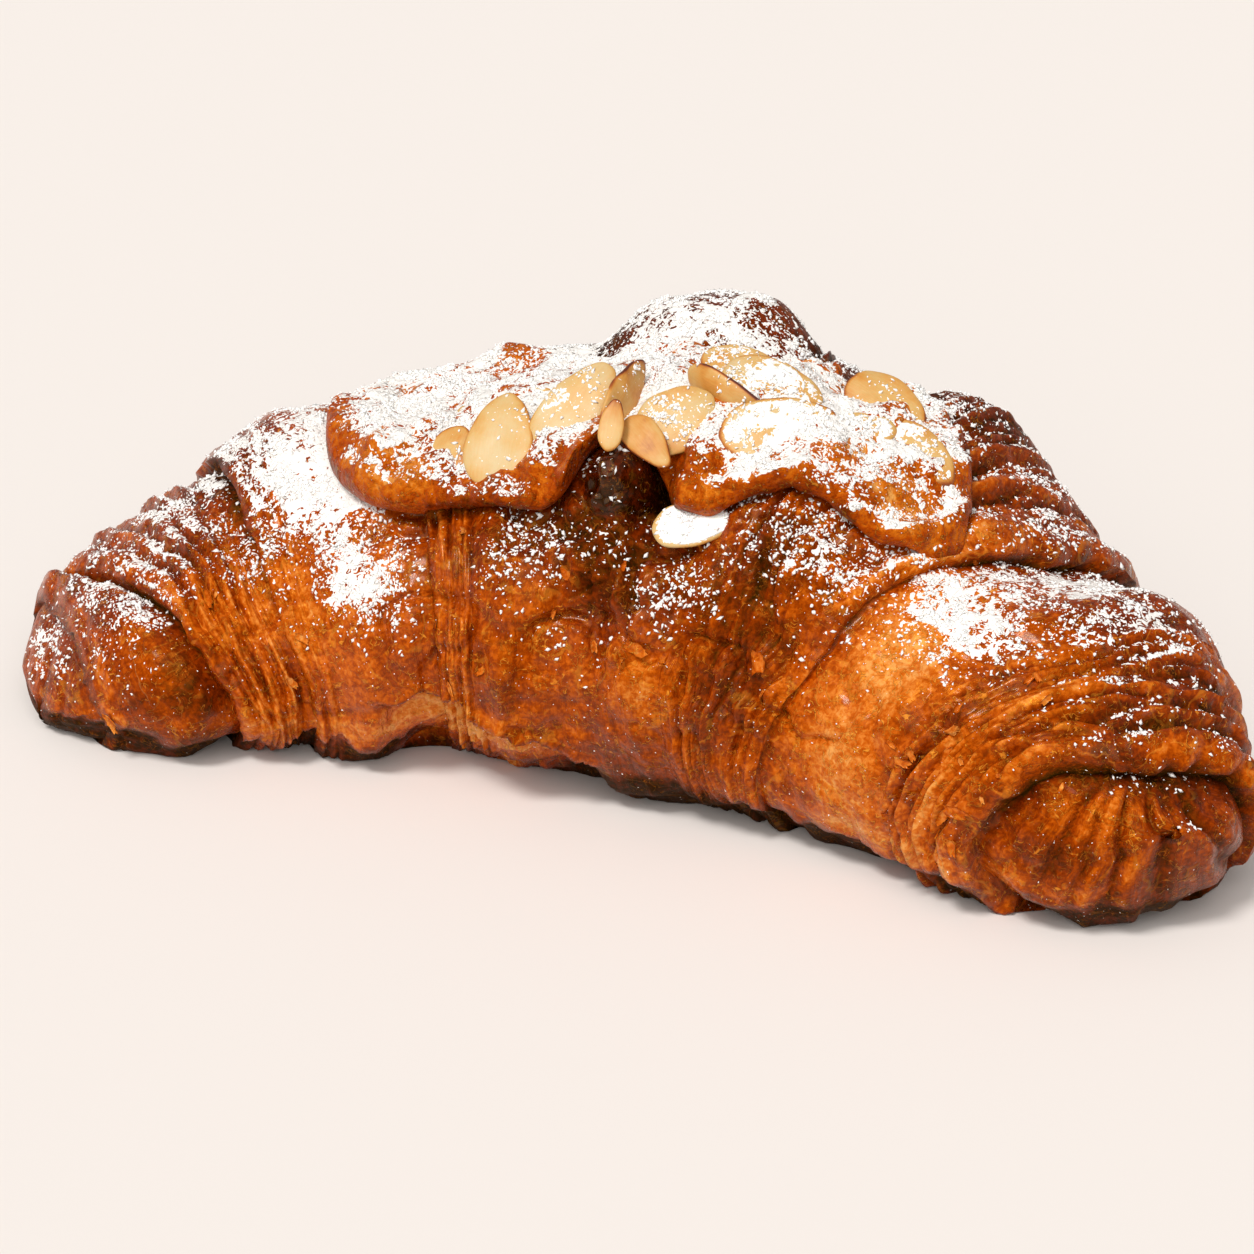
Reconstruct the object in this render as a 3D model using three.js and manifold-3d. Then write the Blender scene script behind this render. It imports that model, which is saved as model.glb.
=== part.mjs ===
// An almond croissant: one rolled crescent of laminated pastry, a baked sheet of almond cream
// over its top, and the flaked almonds that lie in and on the cream.
// Millimetres. +X runs from the left horn to the right one, +Y to the back, +Z up, and the
// origin is on the plane it rests on, in the middle of its footprint.
import * as THREE from "three";
import { mergeVertices } from "three/addons/utils/BufferGeometryUtils.js";
import Module from "manifold-3d";

const wasm = await Module();
wasm.setup();
const { Manifold, Mesh } = wasm;

// Driving sizes.
const BEND_RADIUS = 100; // of the centreline, seen from above
const AXIS_SHARE = 0.4; // height of a section's middle, as a share of its height
const GAP = 0.3; // left between pieces that touch
const TIDY = 0.03; // slivers that cuts leave, thinner than this, are merged away

// Each half runs from the middle to its horn. Stations hold distance along the centreline,
// half width and height. A seam is where one turn of the rolled dough ends: its distance at
// the lower front, front, top, back and underside, the ridges of layers that show beside it
// (count, width of the band, depth), the step down past it, and how much of both shows at the
// front and at the back.
const LEFT = {
  side: -1,
  length: 94,
  rounding: 11,
  nose: { back: 0, up: -2 },
  stations: [
    [0, 41, 54],
    [20, 38, 50.5],
    [47, 32, 40.5],
    [66, 26, 31.5],
    [84, 19.5, 20.5],
    [94, 15, 11],
  ],
  seams: [
    { at: [28, 31, 38, 40, 33], ridges: 4, band: 9, depth: 0.5, step: 0.9, front: 1, back: 0.7, dome: 0.8, wrap: 6 },
    { at: [54, 60, 62.5, 63, 58], ridges: 2, band: 5, depth: 0.6, step: 2.2, front: 0.7, back: 1, dome: 1.6, wrap: 5 },
    { at: [67, 75, 80, 82, 74], ridges: 5, band: 15, depth: 0.9, step: 2.6, front: 1, back: 1.1, dome: 0.5, wrap: 1 },
    { at: [88, 90, 88, 87, 88], ridges: 1, band: 2, depth: 0.3, step: 1.2, front: 1, back: 1, dome: 1.8, wrap: 4 },
  ],
};
const RIGHT = {
  side: 1,
  length: 100,
  rounding: 10,
  nose: { back: 3, up: 9 }, // where its end point lies from the section's middle
  stations: [
    [0, 41, 54],
    [20, 39.5, 53],
    [54, 30.8, 42.5],
    [72, 25.5, 36],
    [86, 21, 30.5],
    [94, 18.5, 26],
    [100, 16, 20],
  ],
  seams: [
    { at: [25, 26, 26, 17, 20], ridges: 2, band: 6, depth: 0.7, step: 3.2, front: 0, back: 1, dome: 0.6, wrap: 4 },
    { at: [43, 53, 57, 58, 50], ridges: 4, band: 20, depth: 1.1, step: 2.8, front: 0.22, back: 1, dome: 0.8, wrap: 2 },
    { at: [85, 89, 94, 92, 89], ridges: 5, band: 13, depth: 0.9, step: 3.4, front: 1, back: 0.9, dome: 1.6, wrap: 6 },
  ],
};
const SEAM_TURNS = [-25, 35, 90, 150, 240]; // where a seam's five distances are, in degrees round the section

// Swellings and hollows: place along the centreline (right is positive), degrees round the
// section (0 front, 90 top), spread along, spread round, rise. All but the degrees in mm.
// Square ones have steeper sides.
const SWELLINGS = [
  { along: 2.5, turn: 112, long: 10.5, wide: 11, rise: 8.6, square: 2 }, // folded tip of the dough, at the back
  { along: 40, turn: 54, long: 7.5, wide: 8, rise: 5.5 }, // puffed front beside the cream
  { along: -20, turn: 108, long: 6, wide: 5, rise: 3 },
  { along: -57, turn: 100, long: 7, wide: 10, rise: 3.5 }, // lip of the third turn on the left
  { along: 38, turn: 118, long: 8, wide: 9, rise: 6 }, // ridged back of the right turn
  { along: 27, turn: 110, long: 4, wide: 9, rise: -3 }, // the fold between that and the tip
  { along: 77, turn: 122, long: 8, wide: 8, rise: 2.5 },
  { along: 62, turn: 115, long: 7, wide: 9, rise: -3.2 },
  { along: -18, turn: 92, long: 20, wide: 15, rise: -5.5 }, // the bed of the cream
  { along: 6.3, turn: 49, long: 4.8, wide: 4.8, rise: 5.5 }, // the dark nose of the folded dough
  { along: 14.8, turn: 50, long: 2.6, wide: 5, rise: -5 }, // the hollow beside it
];
const SKIRT_HEIGHT = 4.6; // the crust ends in a ragged edge this high above the plate
const SKIRT_SETBACK = 1.6; // and the base under it stands this far in

const KNOB_WRINKLES = 13; // gathered folds round each horn's end
const KNOB_DEPTH = 0.9;

// The cream's edge, each point its place along the centreline (mm, right is positive) and
// degrees round the section: the front edge with its notch over the nose, then the back edge.
const CREAM_FRONT = [
  [-49, 78], [-48.2, 63], [-44, 52], [-37.5, 46], [-28, 43], [-18, 41], [-8, 40], [-3, 44], [-1, 51],
  [3, 58], [8.5, 58], [13.5, 52], [19, 45.5], [26, 46], [30, 50], [35, 55], [43, 60], [50, 61], [55.5, 67], [57, 78],
];
const CREAM_BACK = [
  [54, 88], [47, 97], [36, 103], [24, 102], [13, 92], [1, 93], [-12, 99], [-26, 105], [-38, 104], [-46, 94],
];
const CREAM_THICKNESS = 4.4;
const CREAM_SEAT = 0.8; // the cream's underside lies this far above the pastry
const CREAM_MIDDLE = 80; // degrees round the section of the line its rings shrink to
const CREAM_LIP = [
  // share of the way out to the edge, share of the thickness: the rolled lip, then the top
  [0.955, 0.12], [0.992, 0.25], [1, 0.48], [0.988, 0.72], [0.955, 0.9], [0.86, 1], [0.6, 1.03], [0.28, 1.05],
];

// Almond flakes. Where the middle lies (along, turn as above, lift in mm above the pastry),
// length and width, then yaw from the centreline, pitch and roll in degrees, and the curl of
// the middle in mm.
const FLAKE_THICKNESS = 0.9;
const FLAKES = {
  flake_front_left: { along: -18.3, turn: 56, lift: 5.6, size: [14.4, 9.8], turned: [83, -9, 7], curl: 0.8 },
  flake_far_left: { along: -28, turn: 55, lift: 5.1, size: [11, 8.2], turned: [67, -7, 9], curl: 0.5 },
  flake_long_diagonal: { along: -5.7, turn: 62, lift: 6, size: [17, 8.4], turned: [60, -14, 24], curl: 1 },
  flake_on_edge: { along: 2.9, turn: 65, lift: 6.6, size: [15.5, 6.2], turned: [88, 0, 68], curl: 0.7 },
  flake_sliver: { along: 5.4, turn: 55, lift: 5.4, size: [7.4, 3.4], turned: [94, -21, 11], curl: 0.3 },
  flake_over_hollow: { along: 11.4, turn: 55, lift: 5.2, size: [9.4, 5], turned: [-32, 14, 9], curl: 0.4 },
  flake_broad: { along: 14, turn: 62, lift: 5.9, size: [12, 9.2], turned: [57, -9, 17], curl: 0.9 },
  flake_behind: { along: 15.8, turn: 83, lift: 4.3, size: [11.5, 6.8], turned: [16, 2, 14], curl: 0.6 },
  flake_top_right: { along: 23.2, turn: 78, lift: 5.2, size: [14.6, 9.6], turned: [20, 1, 10], curl: 0.9 },
  flake_curved_edge: { along: 18.3, turn: 71, lift: 5.6, size: [12.4, 4.6], turned: [-7, 0, 66], curl: 1.4 },
  flake_big_right: { along: 31, turn: 67.5, lift: 5.7, size: [16.4, 9.4], turned: [48, -5, 11], curl: 0.9 },
  flake_spotted: { along: 37.5, turn: 89, lift: 4.6, size: [12.6, 8.6], turned: [10, 7, 21], curl: 0.8 },
  flake_under_sugar: { along: 39.3, turn: 77, lift: 4.4, size: [12, 7.6], turned: [69, -6, 5], curl: 0.6 },
  flake_far_right: { along: 46, turn: 84, lift: 4.2, size: [13, 7.6], turned: [8, 6, 13], curl: 0.8 },
  flake_small_back: { along: -14.6, turn: 68.5, lift: 5, size: [7.4, 5.6], turned: [8, 1, 5], curl: 0.3 },
  flake_small_left: { along: -24, turn: 70, lift: 4.9, size: [9, 5.4], turned: [-29, 4, 3], curl: 0.5 },
  flake_on_pastry: { along: 24, turn: 43.5, lift: 1.3, size: [11.4, 6.2], turned: [30, 0, 2], curl: 0.8 },
};

// Helpers.
const DEG = Math.PI / 180;
const GOLDEN = 2.39996;
function smooth(a, b, x) {
  const t = Math.min(1, Math.max(0, (x - a) / (b - a)));
  return t * t * (3 - 2 * t);
}
// A smooth curve through [place, value] pairs.
function curveThrough(points) {
  const slope = points.map((p, i) => {
    const a = points[Math.max(0, i - 1)];
    const b = points[Math.min(points.length - 1, i + 1)];
    return (b[1] - a[1]) / (b[0] - a[0]);
  });
  return (x) => {
    let i = 0;
    while (i < points.length - 2 && x > points[i + 1][0]) i += 1;
    const [x0, y0] = points[i];
    const [x1, y1] = points[i + 1];
    const w = x1 - x0;
    const t = Math.min(1, Math.max(0, (x - x0) / w));
    const h = t * t * (3 - 2 * t);
    return y0 * (1 - h) + y1 * h + w * t * (1 - t) * ((1 - t) * slope[i] - t * slope[i + 1]);
  };
}
// A seam's distance from the middle at any turn round the section.
function seamCurve(at) {
  const around = [];
  for (const lap of [-360, 0, 360])
    SEAM_TURNS.forEach((turn, i) => around.push([turn + lap, at[i]]));
  return curveThrough(around);
}
// Uneven waves over the surface, about -1 to 1: wave length along it and waves round it.
function unevenness(along, turn, wave, round, terms, seed) {
  let sum = 0;
  for (let i = 0; i < terms; i++) {
    const g = GOLDEN * (i + seed);
    const k = ((2 * Math.PI) / wave) * Math.cos(g) * (1 + 0.13 * i);
    const n = Math.round(round * Math.sin(g) * (1 + 0.17 * i));
    sum += Math.sin(k * along + n * turn * DEG + 1.7 * i * i + seed);
  }
  return sum / Math.sqrt(terms);
}
// 0 at the front of the section, 1 at its back.
function backness(turn) {
  return smooth(50, 90, turn) * (1 - smooth(240, 265, turn));
}

// The surface of the pastry.
for (const half of [LEFT, RIGHT]) {
  half.width = curveThrough(half.stations.map((s) => [s[0], s[1]]));
  half.height = curveThrough(half.stations.map((s) => [s[0], s[2]]));
  half.seams.forEach((seam) => (seam.curve = seamCurve(seam.at)));
}

// The cream hides the pastry's ridges, so they fade out under it: 1 under the cream, 0 beside it.
const creamFront = curveThrough(CREAM_FRONT);
const creamBack = curveThrough([...CREAM_BACK].reverse());
function underCream(along, turn) {
  const first = CREAM_FRONT[0][0];
  const last = CREAM_FRONT[CREAM_FRONT.length - 1][0];
  const across = smooth(0, 5, turn - creamFront(along)) * smooth(0, 5, creamBack(along) - turn);
  return across * smooth(0, 4, along - first) * smooth(0, 4, last - along);
}

// Relief in mm outwards at a place in the turn of dough that ends at seam k: part is 0 at the
// seam before and 1 at its own.
function relief(half, k, part, turn, distance) {
  const along = half.side * distance;
  const seam = half.seams[k];
  const before = half.seams[k - 1];
  const bare = 1 - underCream(along, turn);
  let out = 0.8 * unevenness(along, turn, 34, 2, 5, 3) + 0.3 * unevenness(along, turn, 12, 5, 6, 9);
  if (before) {
    const shows = bare * (before.front + (before.back - before.front) * backness(turn));
    out -= before.step * shows * (seam ? 1 - smooth(0, 0.6, part) : 1);
  }
  if (seam) {
    const shows = bare * (seam.front + (seam.back - seam.front) * backness(turn));
    const start = before ? before.curve(turn) : 0;
    const gap = seam.curve(turn) - start;
    const left = (1 - part) * gap;
    const band = Math.min(seam.band, 0.85 * gap);
    out += seam.dome * Math.sin(Math.PI * part);
    out += 0.25 * seam.step * shows * Math.exp(-(((left - 1) / 2) ** 2));
    if (left < band) {
      const place = seam.ridges * (1 - left / band);
      const ridge = Math.floor(place + 1e-6);
      const rise = place - ridge;
      const crest = rise < 0.7 ? smooth(0, 0.7, rise) : 1 - smooth(0.7, 1, rise);
      const uneven = 0.75 + 0.5 * unevenness(along, turn, 40, 4, 4, 11 * k + ridge + 2 * half.side);
      out += seam.depth * shows * Math.max(0.15, uneven) * (1.6 * crest - 0.8);
    }
  } else {
    const groove = Math.abs(Math.sin((KNOB_WRINKLES / 2) * turn * DEG + 0.5 * unevenness(along, turn, 20, 2, 3, 5)));
    out -= KNOB_DEPTH * (1 - groove) ** 2 * smooth(0, 0.4, part);
  }
  const reach = Math.max(half.width(distance), 20);
  for (const s of SWELLINGS) {
    const a = (along - s.along) / s.long;
    const b = ((turn - s.turn) * DEG * reach) / s.wide;
    out += s.rise * Math.exp(-0.5 * (a * a + b * b) ** (s.square || 1));
  }
  return out;
}

// A point of the surface: distance from the middle along one half, turn round the section,
// relief, and how far the horn's end rounds it in (1 is not at all).
function surfacePoint(half, distance, turn, out, round = 1) {
  const bend = (half.side * distance) / BEND_RADIUS;
  const height = half.height(distance);
  const c = Math.cos(turn * DEG);
  const s = Math.sin(turn * DEG);
  const moved = 1 - round;
  let across = (half.width(distance) + out) * round * c - half.nose.back * moved;
  const up = AXIS_SHARE * height + (height * (1 - AXIS_SHARE) + out) * round * s + half.nose.up * moved;
  const along = half.side * distance;
  const edge = SKIRT_HEIGHT + 1.2 * unevenness(along, 0, 23, 0, 4, 6);
  const under = 1 - smooth(edge - 1.2, edge + 0.6, up);
  across -= Math.sign(c) * Math.min(SKIRT_SETBACK, Math.abs(across)) * under;
  return [
    BEND_RADIUS * Math.sin(bend) - Math.sin(bend) * across,
    BEND_RADIUS * (Math.cos(bend) - 1) - Math.cos(bend) * across,
    up,
  ];
}

// The mesh of the pastry.
// Rows round the section: close together where it shows, wider on the underside.
const TURNS = [];
for (let t = -44; t < 206; t += 7.2) TURNS.push(t);
for (let t = 214; t < 306; t += 18) TURNS.push(t);

// Columns of one half, from the middle out: which turn of dough and how far through it.
function columns(half) {
  const list = [];
  const mean = (at) => at.reduce((a, b) => a + b) / at.length;
  let start = 0;
  half.seams.forEach((seam, k) => {
    const end = mean(seam.at);
    const gap = end - start;
    const band = Math.min(seam.band, 0.85 * gap);
    for (let i = 0; i < seam.wrap; i++) list.push({ k, part: (i / seam.wrap) * (1 - band / gap) });
    for (let r = 0; r < seam.ridges; r++)
      for (const rise of [0, 0.7]) list.push({ k, band: (r + rise) / seam.ridges });
    list.push({ k, band: 1 - 0.25 / seam.ridges, lip: true });
    start = end;
  });
  const last = half.seams.length;
  const steps = 6;
  for (let i = 0; i < steps; i++) list.push({ k: last, part: i / steps, knob: true });
  return list;
}
// Where a column lies at one turn round the section.
function place(half, column, turn) {
  const { k } = column;
  const seam = half.seams[k];
  const start = k ? half.seams[k - 1].curve(turn) : 0;
  if (!seam) {
    const end = half.length;
    const angle = (Math.PI / 2) * Math.pow(column.part, 0.8);
    const distance = start + (end - start) * Math.sin(angle);
    const t = Math.max(0, (distance - (end - half.rounding)) / half.rounding);
    return { part: column.part, distance, round: Math.pow(1 - Math.pow(t, 2.4), 1 / 2.4) };
  }
  const gap = seam.curve(turn) - start;
  const band = Math.min(seam.band, 0.85 * gap);
  const part = column.band === undefined ? column.part : 1 - (1 - column.band) * (band / gap);
  const distance = start + part * gap;
  const t = Math.max(0, (distance - (half.length - half.rounding)) / half.rounding);
  return { part, distance, round: Math.pow(1 - Math.pow(t, 2.4), 1 / 2.4) };
}

// The pastry's relief at any place along and round it.
function pastryRelief(along, turn) {
  const half = along < 0 ? LEFT : RIGHT;
  const distance = Math.abs(along);
  let k = 0;
  while (k < half.seams.length && half.seams[k].curve(turn) < distance) k += 1;
  const start = k ? half.seams[k - 1].curve(turn) : 0;
  const end = k < half.seams.length ? half.seams[k].curve(turn) : half.length;
  return relief(half, k, (distance - start) / (end - start), turn, distance);
}
// A point above the pastry, and the directions along, round and out there.
function above(along, turn, lift, relieved = pastryRelief(along, turn)) {
  return surfacePoint(along < 0 ? LEFT : RIGHT, Math.abs(along), turn, relieved + lift);
}
function directions(along, turn, lift) {
  const v = (a, t) => new THREE.Vector3(...above(a, t, lift, 0));
  const out = new THREE.Vector3();
  const first = v(along + 1, turn).sub(v(along - 1, turn)).normalize();
  const second = v(along, turn + 1).sub(v(along, turn - 1));
  second.addScaledVector(first, -first.dot(second)).normalize();
  out.crossVectors(first, second);
  return new THREE.Matrix4().makeBasis(first, second, out);
}

// A closed solid from rings of points, each ring the same length, with a point at each end.
function skin(rings, first, final) {
  const n = rings[0].length;
  const points = [first, ...rings.flat(), final];
  const faces = [];
  const at = (i, j) => 1 + i * n + (j % n);
  for (let j = 0; j < n; j++) {
    faces.push(0, at(0, j), at(0, j + 1));
    faces.push(points.length - 1, at(rings.length - 1, j + 1), at(rings.length - 1, j));
  }
  for (let i = 0; i + 1 < rings.length; i++)
    for (let j = 0; j < n; j++) {
      faces.push(at(i, j), at(i + 1, j), at(i + 1, j + 1));
      faces.push(at(i, j), at(i + 1, j + 1), at(i, j + 1));
    }
  return { points, faces };
}
function toManifold({ points, faces }) {
  const geometry = new THREE.BufferGeometry();
  geometry.setAttribute("position", new THREE.Float32BufferAttribute(points.flat(), 3));
  geometry.setIndex(faces);
  const merged = mergeVertices(geometry, 1e-4);
  const made = new Manifold(
    new Mesh({
      numProp: 3,
      vertProperties: merged.attributes.position.array,
      triVerts: new Uint32Array(merged.index.array),
    }),
  );
  if (made.volume() > 0) return made;
  const turned = new Uint32Array(merged.index.array);
  for (let i = 0; i < turned.length; i += 3) [turned[i + 1], turned[i + 2]] = [turned[i + 2], turned[i + 1]];
  return new Manifold(new Mesh({ numProp: 3, vertProperties: merged.attributes.position.array, triVerts: turned }));
}
function toMesh(name, solid, colour) {
  const mesh = solid.getMesh();
  const geometry = new THREE.BufferGeometry();
  geometry.setAttribute("position", new THREE.BufferAttribute(mesh.vertProperties, 3));
  geometry.setIndex(new THREE.BufferAttribute(mesh.triVerts, 1));
  const made = new THREE.Mesh(geometry, new THREE.MeshStandardMaterial({ color: colour, roughness: 0.6 }));
  made.name = name;
  return made;
}

function halfRings(half, grown) {
  return columns(half).map((column) =>
    TURNS.map((turn) => {
      const { part, distance, round } = place(half, column, turn);
      const out = relief(half, column.k, part, turn, distance) + grown;
      return surfacePoint(half, distance, turn, out, round);
    }),
  );
}
function tip(half) {
  return surfacePoint(half, half.length, 0, 0, 0);
}
// The pastry, or with grown the space it needs with a gap all round.
function pastrySolid(grown = 0) {
  const rings = [...halfRings(LEFT, grown).reverse(), ...halfRings(RIGHT, grown).slice(1)];
  return toManifold(skin(rings, tip(LEFT), tip(RIGHT)));
}
const pastry = pastrySolid().trimByPlane([0, 0, 1], 0);

// The cream.
// Points evenly along a closed outline, smoothed through its corners.
function closedOutline(corners, count) {
  const curve = new THREE.CatmullRomCurve3(
    corners.map(([x, y]) => new THREE.Vector3(x, 0.75 * y, 0)),
    true,
    "catmullrom",
    0.5,
  );
  return curve.getSpacedPoints(count).slice(0, count).map((p) => [p.x, p.y / 0.75]);
}
// Triangles that close the innermost ring: its front and back points, from left to right.
function betweenChains(along) {
  const n = along.length;
  const left = along.indexOf(Math.min(...along));
  const right = along.indexOf(Math.max(...along));
  const faces = [];
  let front = left;
  let back = left;
  while (front !== right || back !== right) {
    const nextFront = (front + 1) % n;
    const nextBack = (back + n - 1) % n;
    if (back === right || (front !== right && along[nextFront] <= along[nextBack])) {
      if (front !== back || nextFront !== nextBack) faces.push([front, nextFront, back]);
      front = nextFront;
    } else {
      faces.push([front, nextBack, back]);
      back = nextBack;
    }
  }
  return faces.filter(([a, b, c]) => a !== b && b !== c && a !== c);
}
function creamSolid() {
  const edge = closedOutline([...CREAM_FRONT, ...CREAM_BACK], 54);
  const ring = (share, lift) =>
    edge.map(([a, t]) => {
      const home = [0.8 * a, CREAM_MIDDLE];
      const along = home[0] + (a - home[0]) * share;
      const turn = home[1] + (t - home[1]) * share;
      return above(along, turn, lift(along, turn));
    });
  const thick = (a, t) =>
    CREAM_THICKNESS *
    (1 + 0.1 * unevenness(a, t, 19, 5, 5, 4)) *
    (1 + 0.25 * Math.exp(-(((a + 38) / 14) ** 2))) *
    (1 - 0.35 * smooth(75, 100, t));
  const top = CREAM_LIP.map(([share, rise]) => ring(share, (a, t) => CREAM_SEAT + rise * thick(a, t)));
  const under = [0.9, 0.6, 0.28].map((share) => ring(share, () => CREAM_SEAT));
  const rings = [...[...under].reverse(), ...top];
  const n = edge.length;
  const lid = betweenChains(edge.map(([a]) => a));
  const points = rings.flat();
  const faces = [];
  for (let i = 0; i + 1 < rings.length; i++)
    for (let j = 0; j < n; j++) {
      const k = (j + 1) % n;
      faces.push(i * n + j, i * n + k, (i + 1) * n + k);
      faces.push(i * n + j, (i + 1) * n + k, (i + 1) * n + j);
    }
  const up = (rings.length - 1) * n;
  for (const [a, b, c] of lid) {
    faces.push(up + a, up + b, up + c);
    faces.push(c, b, a);
  }
  return { points, faces };
}

// The flakes.
const FLAKE_POINTS = 12;
// A thin curled slice of almond, pointed at one end, with rounded rims; grown makes it bigger
// all round, for the pocket it lies in.
function flakeSolid(flake, grown = 0) {
  const [length, width] = flake.size;
  const place = directions(flake.along, flake.turn, flake.lift);
  place.setPosition(new THREE.Vector3(...above(flake.along, flake.turn, flake.lift)));
  const turned = new THREE.Euler(flake.turned[2] * DEG, flake.turned[1] * DEG, flake.turned[0] * DEG, "ZYX");
  place.multiply(new THREE.Matrix4().makeRotationFromEuler(turned));
  const half = FLAKE_THICKNESS / 2 + grown;
  const ring = (share, side) => {
    const list = [];
    for (let j = 0; j < FLAKE_POINTS; j++) {
      const a = (2 * Math.PI * j) / FLAKE_POINTS;
      const x = share * (length / 2 + grown) * Math.cos(a);
      const y = share * (width / 2 + grown) * Math.sin(a) * (1 - 0.24 * Math.cos(a));
      const z = flake.curl * (1 - 2 * ((2 * x) / length) ** 2 - 0.6 * ((2 * y) / width) ** 2) * 0.5 + side * half;
      list.push(new THREE.Vector3(x, y, z).applyMatrix4(place).toArray());
    }
    return list;
  };
  const middle = (side) => new THREE.Vector3(0, 0, 0.5 * flake.curl + side * half).applyMatrix4(place).toArray();
  return skin([ring(0.5, -1), ring(0.93, -0.9), ring(1, 0), ring(0.93, 0.9), ring(0.5, 1)], middle(-1), middle(1));
}
function largestBody(solid) {
  return solid.decompose().sort((a, b) => b.volume() - a.volume())[0].simplify(TIDY);
}

// Flakes listed first lie on top: each is cut where the ones above it pass, and the cream
// where any of them lies.
const flakes = [];
let cream = toManifold(creamSolid());
const pastrySpace = pastrySolid(GAP);
let taken = pastrySpace;
for (const [name, flake] of Object.entries(FLAKES)) {
  let solid = toManifold(flakeSolid(flake));
  solid = largestBody(solid.subtract(taken));
  flakes.push([name, solid]);
  const pocket = toManifold(flakeSolid(flake, GAP));
  taken = taken.add(pocket);
}
cream = largestBody(cream.subtract(taken));

// The group.
// The origin goes to the middle of the footprint of everything together.
const whole = flakes.reduce((all, [, solid]) => all.add(solid), pastry.add(cream)).boundingBox();
const centre = [-(whole.min[0] + whole.max[0]) / 2, -(whole.min[1] + whole.max[1]) / 2, 0];
const almondCroissant = new THREE.Group();
almondCroissant.name = "almond_croissant";
almondCroissant.add(toMesh("croissant", pastry.translate(centre), 0xb5652a));
almondCroissant.add(toMesh("almond_cream", cream.translate(centre), 0xc98a4b));
for (const [name, solid] of flakes) almondCroissant.add(toMesh(name, solid.translate(centre), 0xf2deb4));

export default almondCroissant;
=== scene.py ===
"""The almond croissant's looks: laminated crust, baked almond cream, flaked almonds and sugar."""
import math

import bpy
import numpy as np
from bpy.props import FloatProperty, FloatVectorProperty, IntProperty, PointerProperty
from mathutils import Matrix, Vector


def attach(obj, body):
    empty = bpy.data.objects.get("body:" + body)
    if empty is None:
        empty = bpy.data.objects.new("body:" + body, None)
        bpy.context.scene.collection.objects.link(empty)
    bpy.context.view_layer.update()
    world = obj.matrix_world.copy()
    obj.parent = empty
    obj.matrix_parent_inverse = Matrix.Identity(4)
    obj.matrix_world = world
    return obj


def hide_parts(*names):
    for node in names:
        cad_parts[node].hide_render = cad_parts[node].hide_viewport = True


bl_info = {
    "name": "Almond croissant",
    "version": (1, 0, 0),
    "blender": (4, 5, 0),
    "location": "3D View > Sidebar > Croissant",
    "description": "Builds the looks of an almond croissant round its solid model",
    "category": "Object",
}

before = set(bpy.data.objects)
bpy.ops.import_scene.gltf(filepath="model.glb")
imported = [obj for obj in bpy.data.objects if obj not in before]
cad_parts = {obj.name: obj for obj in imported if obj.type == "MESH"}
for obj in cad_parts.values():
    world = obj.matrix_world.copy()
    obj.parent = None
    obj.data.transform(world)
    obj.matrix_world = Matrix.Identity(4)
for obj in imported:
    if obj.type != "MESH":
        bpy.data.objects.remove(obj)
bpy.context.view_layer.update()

# Sizes are in millimetres until a mesh is made, and turns are degrees round the section:
# 0 is the front, 90 the top, 180 the back and 270 the underside.
MM = 0.001
DEG = math.pi / 180
GOLDEN_ANGLE = 2.39996

# The pastry's form, as in the solid model.
BEND_RADIUS = 100
AXIS_SHARE = 0.4
CENTRE = np.array([-2.0, 3.866, 0.0])
SEAM_KEYS = ("at", "ridges", "band", "depth", "step", "front", "back", "dome")
# Each seam between two turns of dough: where it lies at the SEAM_TURNS, the ridges, width and depth
# of the band beside it, its step down, how far it shows in front and behind, and the swell before it.
LEFT_SEAMS = [
    ([28, 31, 38, 40, 33], 4, 9, 0.5, 0.9, 1, 0.7, 0.8),
    ([54, 60, 62.5, 63, 58], 2, 5, 0.6, 2.2, 0.7, 1, 1.6),
    ([67, 75, 80, 82, 74], 5, 15, 0.9, 2.6, 1, 1.1, 0.5),
    ([88, 90, 88, 87, 88], 1, 2, 0.3, 1.2, 1, 1, 1.8),
]
RIGHT_SEAMS = [
    ([25, 26, 26, 17, 20], 2, 6, 0.7, 3.2, 0, 1, 0.6),
    ([43, 53, 57, 58, 50], 4, 20, 1.1, 2.8, 0.4, 1, 0.8),
    ([85, 89, 94, 92, 89], 5, 13, 0.9, 3.4, 1, 0.9, 1.6),
]
# The stations of each half are its distance from the middle, half width and height.
LEFT = {
    "side": -1,
    "length": 94,
    "rounding": 11,
    "nose": (0, -2),
    "stations": [
        [0, 41, 54], [20, 38, 50.5], [47, 32, 40.5],
        [66, 26, 31.5], [84, 19.5, 20.5], [94, 15, 11],
    ],
    "seams": [dict(zip(SEAM_KEYS, seam)) for seam in LEFT_SEAMS],
}
RIGHT = {
    "side": 1,
    "length": 100,
    "rounding": 10,
    "nose": (3, 9),
    "stations": [
        [0, 41, 54], [20, 39.5, 53], [54, 30.8, 42.5], [72, 25.5, 36],
        [86, 21, 30.5], [94, 18.5, 26], [100, 16, 20],
    ],
    "seams": [dict(zip(SEAM_KEYS, seam)) for seam in RIGHT_SEAMS],
}
SEAM_TURNS = [-25, 35, 90, 150, 240]
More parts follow.
